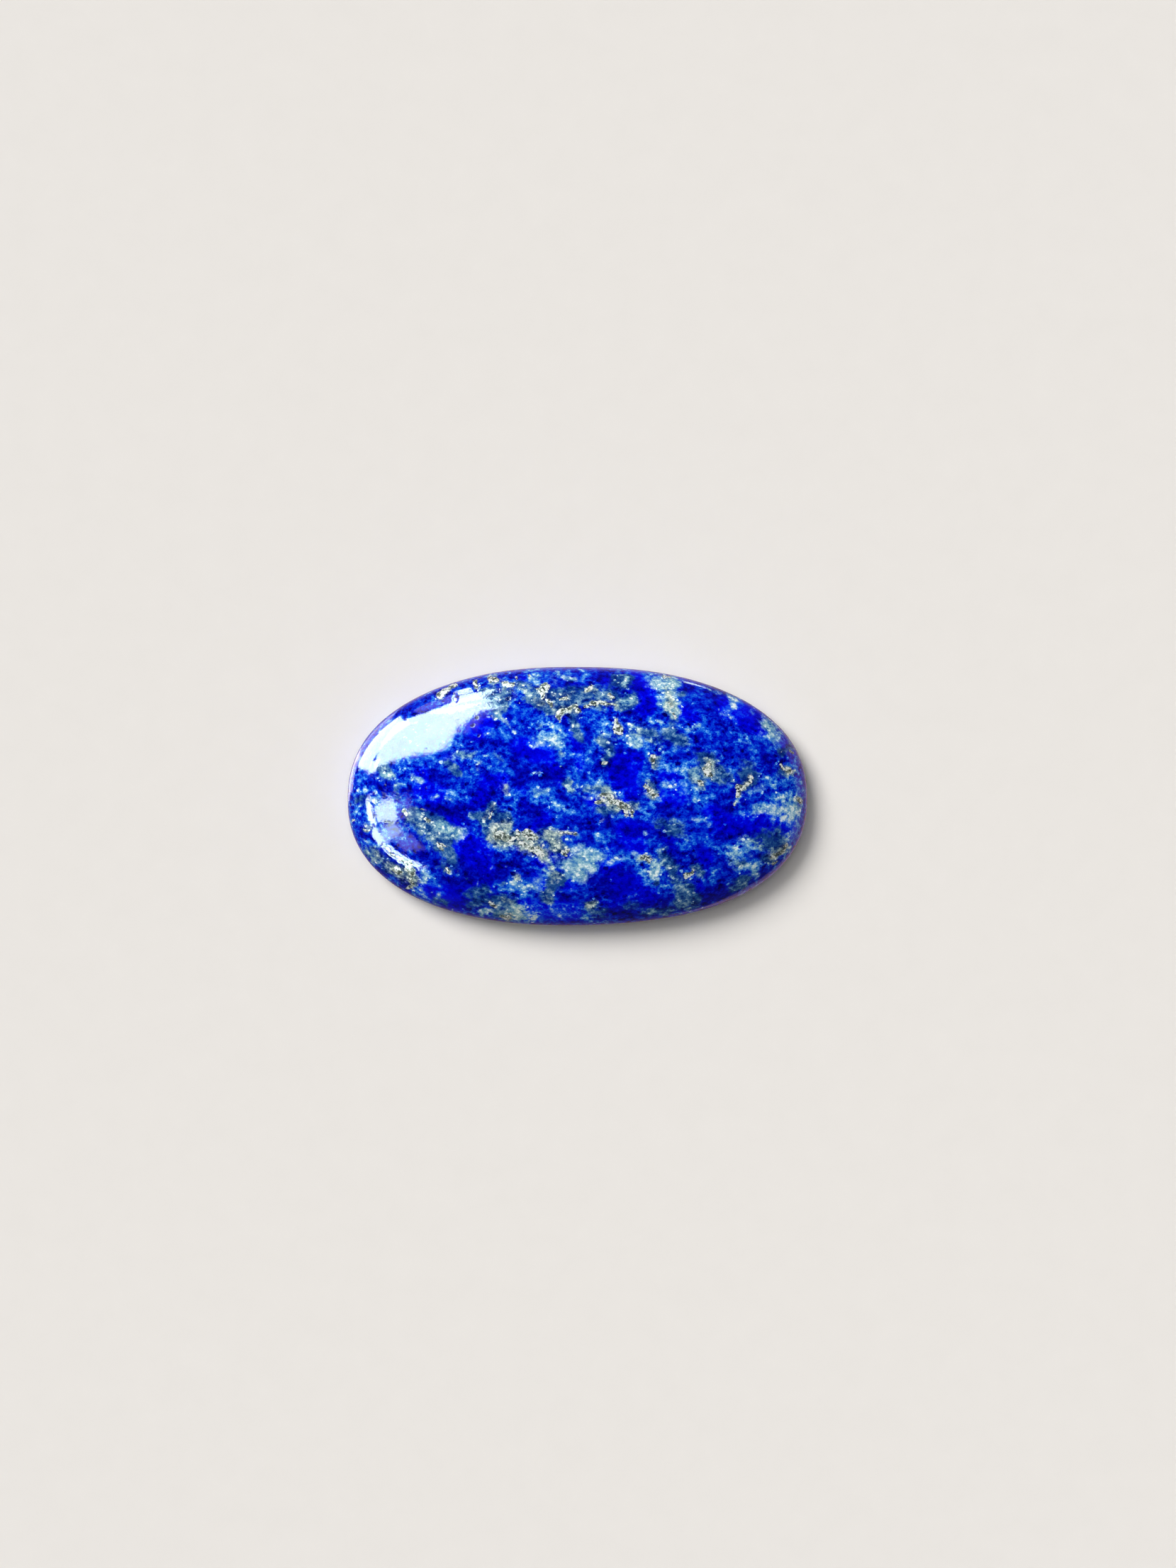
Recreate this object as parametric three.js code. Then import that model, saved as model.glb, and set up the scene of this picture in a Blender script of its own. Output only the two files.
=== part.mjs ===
// A polished lapis lazuli cabochon: one hand-cut oval stone with a low domed face, a short upright
// girdle, a narrow bevel under the girdle and a flat back that it rests on.
// Millimetres, +Z up. The origin is the middle of the flat back, and the long diameter lies along X.

import * as THREE from "three";

// Driving dimensions
const LENGTH = 28.4;
const WIDTH = 16.0;
const THICKNESS = 5.0;
const BEVEL_HEIGHT = 0.45;
const BEVEL_INSET = 0.5;
const GIRDLE_TOP = 1.15;

// The oval is a superellipse: a power of 2 would be an ellipse, and more is fuller at the shoulders.
const OVAL_POWER = 2.28;

// The hand-cut edge wanders off that oval in a few slow waves round the outline. Each has a height in
// millimetres, and one of its crests lies at an angle in degrees from +X.
const EDGE_WAVES = [
  { lobes: 2, height: 0.025, crest: 45 },
  { lobes: 3, height: 0.055, crest: -20 },
  { lobes: 5, height: 0.025, crest: -18 },
];

// The dome's section: a power of 2 would be an ellipse, and more is flatter over the middle.
const DOME_POWER = 2.4;

// Facets of the solid
const SEGMENTS = 96;
const DOME_RINGS = 24;

// Distance from the middle to the edge of the stone, at an angle from +X.
function edgeRadius(angle) {
  const lengthwise = Math.abs(Math.cos(angle)) / (LENGTH / 2);
  const crosswise = Math.abs(Math.sin(angle)) / (WIDTH / 2);
  let radius = (lengthwise ** OVAL_POWER + crosswise ** OVAL_POWER) ** (-1 / OVAL_POWER);
  for (const wave of EDGE_WAVES) {
    radius += wave.height * Math.cos(wave.lobes * (angle - THREE.MathUtils.degToRad(wave.crest)));
  }
  return radius;
}

// The section from the middle of the back to the crown of the dome. Its x is a share of the stone's
// edge radius, and its y is a height.
function sectionPoints() {
  const points = [
    new THREE.Vector2(0, 0),
    new THREE.Vector2(1, 0),
    new THREE.Vector2(1, BEVEL_HEIGHT),
    new THREE.Vector2(1, GIRDLE_TOP),
  ];
  const rise = THICKNESS - GIRDLE_TOP;
  for (let ring = 1; ring <= DOME_RINGS; ring++) {
    const turn = (Math.PI / 2) * (1 - ring / DOME_RINGS);
    const share = Math.sin(turn) ** (2 / DOME_POWER);
    points.push(new THREE.Vector2(share, GIRDLE_TOP + rise * Math.cos(turn)));
  }
  return points;
}

// Turns the section into a round stone of unit radius, then draws each vertex out to the oval.
function stoneGeometry() {
  const geometry = new THREE.LatheGeometry(sectionPoints(), SEGMENTS);
  geometry.rotateX(Math.PI / 2);
  const position = geometry.getAttribute("position");
  for (let i = 0; i < position.count; i++) {
    const share = Math.hypot(position.getX(i), position.getY(i));
    const angle = Math.atan2(position.getY(i), position.getX(i));
    const bevelInset = BEVEL_INSET * Math.max(0, 1 - position.getZ(i) / BEVEL_HEIGHT);
    const radius = share * (edgeRadius(angle) - bevelInset);
    position.setXY(i, radius * Math.cos(angle), radius * Math.sin(angle));
  }
  geometry.computeVertexNormals();
  return geometry;
}

const lapis = new THREE.MeshStandardMaterial({ color: 0x2549bb, roughness: 0.12, metalness: 0 });

const stone = new THREE.Mesh(stoneGeometry(), lapis);
stone.name = "stone";

const cabochon = new THREE.Group();
cabochon.name = "lapis_cabochon";
cabochon.add(stone);

export default cabochon;
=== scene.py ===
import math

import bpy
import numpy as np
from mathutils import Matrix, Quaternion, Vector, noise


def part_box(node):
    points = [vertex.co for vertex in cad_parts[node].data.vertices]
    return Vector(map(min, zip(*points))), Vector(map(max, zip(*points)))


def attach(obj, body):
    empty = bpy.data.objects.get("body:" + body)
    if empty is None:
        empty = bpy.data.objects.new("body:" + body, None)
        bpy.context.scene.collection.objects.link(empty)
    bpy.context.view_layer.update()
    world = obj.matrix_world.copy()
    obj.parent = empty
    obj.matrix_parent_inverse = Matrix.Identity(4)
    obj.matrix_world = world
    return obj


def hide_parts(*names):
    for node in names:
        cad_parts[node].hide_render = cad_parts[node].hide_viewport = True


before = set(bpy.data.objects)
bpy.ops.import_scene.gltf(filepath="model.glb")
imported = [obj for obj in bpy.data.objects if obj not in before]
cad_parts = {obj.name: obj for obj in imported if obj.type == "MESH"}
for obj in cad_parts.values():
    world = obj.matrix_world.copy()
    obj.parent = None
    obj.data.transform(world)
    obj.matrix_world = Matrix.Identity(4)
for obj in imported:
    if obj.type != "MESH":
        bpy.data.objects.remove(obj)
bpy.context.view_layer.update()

# The looks of a polished lapis lazuli cabochon. The stone is one mesh that takes the place of the plain
# solid, with the same form. Its minerals are laid out as marks on the face, and those marks drive both the
# low relief of the polish and the colours. Sizes are in millimetres unless a name says otherwise.

MM = 0.001
STONE_NODE = "stone"

# ---------------------------------------------------------------------------------------------------------
# The form: the same oval, dome, girdle and bevel as the solid, sized from its box
# ---------------------------------------------------------------------------------------------------------

box_low, box_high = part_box(STONE_NODE)
LENGTH = (box_high[0] - box_low[0]) / MM
WIDTH = (box_high[1] - box_low[1]) / MM
THICKNESS = (box_high[2] - box_low[2]) / MM
BEVEL_HEIGHT = 0.45
BEVEL_INSET = 0.5
GIRDLE_TOP = 1.15
DOME_RISE = THICKNESS - GIRDLE_TOP
OVAL_POWER = 2.28
DOME_POWER = 2.4
EDGE_WAVES = [(2, 0.025, 45), (3, 0.055, -20), (5, 0.025, -18)]  # lobes, height, crest in degrees
WORN_EDGE = 0.12  # how far each side of a bevel's edge its rounding reaches

CAMERA = np.array([0.68, 0.775, 146.8])  # it looks straight down, from above the stone's middle

# The mesh's grid: cells along and across the dome. Both are multiples of twice COARSE.
CELLS_LONG = 336
CELLS_WIDE = 192
COARSE = 4  # the back's cells are this many dome cells wide
GIRDLE_ROWS = 4
SECTION_POINTS = 600  # where the dome's section is measured


def edge_radius(angle):
    """Distance from the middle to the edge of the stone, at an angle from +X."""
    lengthwise = np.abs(np.cos(angle)) / (LENGTH / 2)
    crosswise = np.abs(np.sin(angle)) / (WIDTH / 2)
    radius = (lengthwise**OVAL_POWER + crosswise**OVAL_POWER) ** (-1 / OVAL_POWER)
    for lobes, height, crest in EDGE_WAVES:
        radius = radius + height * np.cos(lobes * (angle - math.radians(crest)))
    return radius


def dome_height(share):
    """Height of the dome where a point lies at this share of the edge radius."""
    return GIRDLE_TOP + DOME_RISE * np.sqrt(np.maximum(0, 1 - share**DOME_POWER))


def even_share(part):
    """The share of the edge radius at this part of the way down the dome, measured on its surface."""
    turn = np.linspace(0, math.pi / 2, SECTION_POINTS)
    share = np.sin(turn) ** (2 / DOME_POWER)
    mean_radius = (LENGTH + WIDTH) / 4
    steps = np.hypot(np.diff(share) * mean_radius, np.diff(DOME_RISE * np.cos(turn)))
    way = np.concatenate([[0], np.cumsum(steps)])
    return np.interp(part, way / way[-1], share)


def disc_grid(cells_long, cells_wide):
    """A square grid bent into a disc: each vertex's part of the way out and its angle, row by row."""
    across, up = np.meshgrid(np.linspace(-1, 1, cells_long + 1), np.linspace(-1, 1, cells_wide + 1))
    part = np.maximum(np.abs(across), np.abs(up))
    safe = np.maximum(part, 1e-9)
    quarter = math.pi / 4
    sideways = np.abs(across) >= np.abs(up)
    turn_side = quarter * up / safe
    turn_up = quarter * across / safe
    angle = np.where(
        sideways,
        np.where(across >= 0, turn_side, math.pi - turn_side),
        np.where(up >= 0, math.pi / 2 - turn_up, -math.pi / 2 + turn_up),
    )
    round_x = np.cos(angle) * LENGTH
    round_y = np.sin(angle) * WIDTH
    return part.ravel(), np.arctan2(round_y, round_x).ravel(), angle.ravel()


def grid_rim(cells_long, cells_wide):
    """The indices of the grid's border, anticlockwise from its lower left corner."""
    index = np.arange((cells_long + 1) * (cells_wide + 1)).reshape(cells_wide + 1, cells_long + 1)
    return np.concatenate([index[0, :-1], index[:-1, -1], index[-1, :0:-1], index[:0:-1, 0]])


def grid_cells(cells_long, cells_wide):
    """The grid's quads, facing up."""
    index = np.arange((cells_long + 1) * (cells_wide + 1)).reshape(cells_wide + 1, cells_long + 1)
    corners = [index[:-1, :-1], index[:-1, 1:], index[1:, 1:], index[1:, :-1]]
    return np.stack([corner.ravel() for corner in corners], axis=1)


def worn_corner(before, corner, after, steps=4):
    """Points that round a corner of the section, from one side of it to the other."""
    before, corner, after = (np.array(point, float) for point in (before, corner, after))
    start = corner + (before - corner) / np.linalg.norm(before - corner) * WORN_EDGE
    end = corner + (after - corner) / np.linalg.norm(after - corner) * WORN_EDGE
    points = []
    for step in np.linspace(0, 1, steps + 1):
        points.append((1 - step) ** 2 * start + 2 * step * (1 - step) * corner + step**2 * end)
    return points


def side_section():
    """The section from the foot of the dome to the back, as points (inset from the edge, height)."""
    top = (0, GIRDLE_TOP)
    bevel_top = (0, BEVEL_HEIGHT)
    bevel_foot = (BEVEL_INSET, 0)
    inward = (BEVEL_INSET + 1, 0)
    drop = GIRDLE_TOP - BEVEL_HEIGHT - WORN_EDGE
    upright = [(0, GIRDLE_TOP - drop * row / GIRDLE_ROWS) for row in range(1, GIRDLE_ROWS)]
    return upright + worn_corner(top, bevel_top, bevel_foot) + worn_corner(bevel_top, bevel_foot, inward)


# ---------------------------------------------------------------------------------------------------------
# The minerals: marks laid on the face as the camera sees it, with +X to the right and +Y up.
# Each mark is (half width, amount, x, y, x, y, ...), a stroke through its points that fades at its edge.
# Sage is the grey-green matrix of the pyrite, and slate is a grey haze in the blue. Deep, azure and cobalt
# are darker, paler and purer blues.
# ---------------------------------------------------------------------------------------------------------

PYRITE_MARKS = [
    # upper left
    (0.22, 1, -8.5, 6.25, -8.25, 6.5), (0.1, 1, -8, 6.7, -7.5, 6.95), (0.12, 0.8, -7.55, 6),
    (0.12, 1, -6.3, 7.15, -6.25, 6.8), (0.16, 1, -5.4, 7.25, -4.95, 7.25),
    (0.2, 1, -4.4, 7.05, -3.95, 6.95), (0.09, 0.9, -3.75, 7.4), (0.08, 0.9, -3, 7.55),
    (0.17, 1, -2.15, 6.75, -2.1, 6.15), (0.1, 1, -2.5, 6.6, -2.2, 6.4), (0.13, 1, -1.95, 6.95, -1.85, 6.7),
    (0.17, 1, -1.75, 5.9, -1.55, 5.6), (0.13, 1, -1, 6.05, -0.7, 6.2), (0.17, 1, -1.15, 4.9, -1.05, 5.2),
    (0.08, 1, -0.95, 5.2, -0.7, 5.35, -0.4, 5.5), (0.16, 1, -0.15, 5.5, 0.05, 5.35),
    (0.07, 0.9, -1.15, 4.55),
    # upper right
    (0.14, 0.9, 0.6, 6.6, 0.85, 6.75), (0.1, 1, 1.95, 6.4, 2.25, 6.1), (0.09, 1, 0.45, 5.6, 0.8, 5.7),
    (0.15, 1, 0.95, 5.75, 1.2, 5.7), (0.15, 1, 1.45, 5.8, 1.75, 5.75), (0.09, 1, 1.9, 5.75, 2.4, 5.65),
    (0.27, 1, 2.45, 4.3, 2.6, 4.05), (0.11, 1, 2.35, 4.75, 2.4, 4.45), (0.16, 0.9, 4.7, 2.45, 4.72, 2.15),
    (0.18, 0.8, 4.25, 0.65, 4.6, 0.2), (0.12, 0.9, 4.7, 0.1, 5.1, 0.15), (0.2, 0.55, 5.75, 6, 5.9, 5.6),
    (0.1, 0.9, 6, 5.1, 6.1, 4.95), (0.12, 0.7, 5.4, 7.35, 5.8, 7.3), (0.2, 0.9, 8.15, 1.95, 8.25, 1.55),
    (0.1, 1, 7.85, 1.75, 8.05, 1.4, 8.4, 1.3), (0.17, 1, 7.6, 0.9, 7.65, 0.7),
    (0.1, 0.9, 10.7, 1.25, 10.85, 1.1), (0.14, 1, 10.75, 0.85, 10.2, 0.55), (0.2, 1, 9.95, 0.55, 9.95, 0.1),
    (0.11, 1, 12.6, 1.95, 12.8, 1.7), (0.14, 1, 13.05, 1.65, 13.2, 1.45),
    (0.07, 0.5, 12.6, 2.75, 12.8, 2.8), (0.08, 0.9, 13.1, 2.8, 13.3, 2.7), (0.14, 1, 1.5, 0.15, 2.2, -0.05),
    (0.12, 0.8, 1.5, 2.1, 1.75, 2), (0.2, 0.9, 2.55, 4.2),
    # lower left
    (0.08, 0.8, -5.25, -0.9, -5.4, -1.35), (0.22, 0.75, -5, -2.2, -4.9, -2.6),
    (0.22, 1, -4.6, -2.3, -4.3, -2.6), (0.18, 0.9, -4.1, -2.7, -3.75, -2.55),
    (0.1, 1, -3.65, -2.1, -3.6, -2.5), (0.22, 1, -3.2, -2.3, -2.75, -2.45),
    (0.09, 1, -3.1, -2.1, -2.75, -2.2, -2.55, -2.55), (0.18, 0.75, -3.5, -2.85, -2.9, -3.05),
    (0.2, 0.9, -2.9, -3.2, -2.4, -3.45), (0.16, 0.9, -2.4, -3.2, -2.1, -3.6), (0.08, 1, -2.15, -3),
    (0.08, 0.9, -1, -2.2, -0.5, -2.25), (0.13, 0.8, -0.4, -2.3, -0.1, -2.3),
    (0.15, 0.8, -0.9, -3.35, -0.55, -3.35), (0.08, 1, -0.75, -3.6, -0.6, -3.65),
    (0.13, 1, -5.4, -6.55, -5.1, -6.75), (0.2, 0.8, -4.7, -7.4, -4.2, -7.45),
    (0.13, 0.8, -9.45, -1.35, -9.1, -1.5), (0.07, 0.9, -9.75, -0.85, -9.5, -0.85),
    (0.09, 1, -10.7, -0.9, -10.55, -1.1), (0.15, 0.9, -8.5, -3.1, -8.3, -3.3),
    (0.1, 0.8, -8.6, -2.85, -8.1, -3), (0.2, 1, -10.5, -4.45, -10.15, -4.75),
    (0.18, 0.9, -11.3, -4.5, -11, -4.65), (0.16, 1, -10.3, -5.1, -10.15, -5.4),
    (0.09, 1, -10.5, -5.6, -10.25, -5.65), (0.1, 1, -11, -3.9, -10.3, -4.2),
    (0.1, 1, -11.3, -3.6, -10.9, -3.8), (0.09, 1, -11.9, -3.1, -11.5, -3.45),
    (0.14, 0.7, -13.15, -2, -12.95, -2.05), (0.08, 0.8, -13.9, -1.45, -13.75, -1.5),
    (0.09, 0.8, -12.75, -0.2, -12.55, -0.4), (0.12, 0.9, -8.1, -4.35, -7.95, -4.7),
    # lower right
    (0.15, 1, 1.25, -0.3, 1.5, -0.25), (0.2, 0.9, 2.1, -0.25, 2.5, -0.35), (0.17, 1, 2.6, -0.5, 2.85, -0.7),
    (0.18, 0.6, 3, -0.55, 3.4, -0.8), (0.13, 1, 2.95, -0.95, 3.1, -1.2), (0.09, 1, 3.4, -0.95, 3.4, -1.3),
    (0.22, 1, 4.1, -3.75, 4.4, -3.9), (0.15, 1, 6.7, -4.9, 7.05, -4.75), (0.08, 1, 9.7, -0.35, 9.7, -0.5),
    (0.12, 1, 12.9, -2.95, 12.75, -3.3), (0.14, 1, 12.6, -3.5, 12.1, -3.65),
    (0.08, 0.9, 12.4, -4, 12.1, -4.15), (0.14, 1, 13.65, -0.15, 13.8, -0.25),
]

SAGE_MARKS = [
    # upper left
    (0.45, 0.7, -2.1, 6.5, -1.8, 5.8), (0.3, 0.4, -1.4, 6.3, -0.7, 6.1), (0.3, 0.8, -1.15, 4.9, -0.9, 5.2),
    (0.2, 0.8, -0.9, 5.2, -0.1, 5.4), (0.3, 0.6, -4.4, 7, -3.6, 6.9), (0.25, 0.5, -8.4, 6.3, -7.6, 6.9),
    (0.3, 0.5, -5.3, 7.2, -5, 7.2), (0.28, 0.8, -4.45, 0.55, -4.35, 0.35),
    (0.25, 0.7, -6.15, 1.9, -6.15, 1.7), (0.25, 0.5, -5.5, 5.1, -5.2, 4.9),
    (0.3, 0.5, -1.3, 6.3, -0.2, 6.4), (0.25, 0.5, -4.1, 6.4, -3.8, 6.1), (0.25, 0.5, -2.7, 6, -2.4, 5.6),
    (0.3, 0.5, -12.3, 1.1, -11.7, 0.9),
    # upper right
    (0.3, 0.5, 0.5, 6.6, 1.2, 6.5), (0.25, 0.6, 0.6, 5.6, 2.4, 5.7), (0.3, 0.6, 2.4, 4.7, 2.6, 4.1),
    (0.3, 0.6, 2.8, 7.2, 3, 6.9), (0.3, 0.8, 5.6, 6.6, 5.9, 5.6), (0.4, 0.7, 8.1, 1.9, 8.3, 1.5),
    (0.3, 0.6, 7.6, 0.9, 7.7, 0.7), (0.35, 0.8, 10.6, 0.9, 9.95, 0.3), (0.25, 0.6, 10.7, 1.3),
    (0.3, 0.6, 12.7, 1.8, 13.2, 1.5), (0.25, 0.35, 12.7, 2.8, 13.2, 2.8), (0.42, 0.75, 4.3, 0.6, 4.7, 0.2),
    (0.3, 0.6, 4.7, 2.3), (0.35, 0.6, 5.9, 6.2, 6, 5.3), (0.3, 0.6, 2.8, 5.7, 3.3, 5.8),
    (0.3, 0.6, 5.6, 5.4, 6, 5), (0.3, 0.6, 8, 2.4, 8.5, 1.8), (0.25, 0.5, 3.9, 0.3, 4.3, 0.1),
    (0.22, 0.7, 4.7, 2.5, 4.8, 2),
    # lower left
    (0.45, 1, -5, -2.2, -4.5, -2.5, -3.7, -2.6, -2.8, -2.4), (0.4, 1, -3.4, -2.9, -2.6, -3.3, -2.05, -3.6),
    (0.28, 0.6, -1.7, -4, -1.5, -4.6), (0.3, 0.65, -1.4, -2.8, -1, -3.2, -0.5, -3.5),
    (0.3, 0.55, -1.2, -4.9, -1.1, -5.1), (0.28, 0.6, -1.6, -5.2, -1.6, -5.9),
    (0.28, 0.6, -2.1, -6.2, -1.8, -6.4), (0.3, 0.6, -5.7, -1.3, -5.3, -0.6),
    (0.25, 0.5, -3.5, -3.4, -2.9, -3.6), (0.5, 0.5, -10, -1.4, -9.2, -1.6),
    (0.3, 0.55, -7.6, -2.3, -7.1, -2.3), (0.35, 0.6, -10.4, -4.4, -10.2, -5.2),
    (0.3, 0.5, -11.6, -4.3, -11, -4.6), (0.4, 0.5, -12.9, -3.2, -12.4, -3.7),
    (0.35, 0.55, -3.9, -7.1, -3.5, -7.2), (0.3, 0.5, -4.7, -7.4, -4.2, -7.4), (0.25, 0.5, -5.3, -6.6),
    (0.3, 0.5, -3.9, -5.3, -3.6, -5.3), (0.35, 0.9, -5, -1.8, -4.4, -1.75),
    (0.25, 0.6, -4.9, -3, -4.2, -3.1), (0.35, 0.3, -8.6, -2, -8, -2.2),
    (0.25, 0.45, -9.2, -2.3, -8.7, -2.5), (0.33, 0.75, -1.8, -2.3, -1.1, -2.2),
    (0.22, 0.8, -1, -2.2, -0.2, -2.3), (0.3, 0.8, -1.8, -2.2, -1.3, -3.1),
    (0.15, 0.8, -8.1, -4.35, -8.1, -4.6), (0.3, 0.7, -3.8, -4.9), (0.3, 0.6, -5.3, -2.6, -4.5, -2.5),
    (0.25, 0.6, -8.2, -4.5, -7.8, -4.7), (0.3, 0.6, -13, -1.7, -12.8, -1.9),
    (0.35, 0.6, -12.4, -3.6, -11.3, -4.5), (0.35, 0.6, -10.9, -4.9, -9.9, -5.2),
    (0.25, 0.5, -4.6, -6.4, -4.1, -6.5), (0.3, 0.6, -10.6, -5.2, -10.2, -5.5),
    # lower right
    (0.35, 0.8, 1.4, -0.2, 2.2, -0.25), (0.4, 0.8, 2.2, -0.3, 3.3, -0.9), (0.25, 0.4, 3.5, -0.5, 3.7, -0.5),
    (0.2, 0.4, 1.5, -1.6, 1.7, -1.4), (0.3, 0.6, 12.8, -3.1, 12.2, -3.6), (0.3, 0.7, 3.8, -3.8, 4.3, -3.8),
    (0.35, 0.6, 6.8, -4.8, 7.1, -4.7), (0.3, 0.6, 0.8, -6.8, 1.2, -6.6), (0.3, 0.45, 5.9, -4.4, 5.7, -4.9),
    (0.4, 0.2, 6.6, -6.5, 7, -6.3), (0.15, 0.6, 1.5, -1.6, 1.7, -1.4), (0.25, 0.5, 1.7, 0.3, 2.4, -0.8),
    (0.22, 0.6, 10.1, 0.1, 10.2, -0.3), (0.25, 0.5, 0.8, -6.6, 1.2, -6.3), (0.3, 0.5, 12.5, -3.4, 12, -3.9),
]

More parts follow.
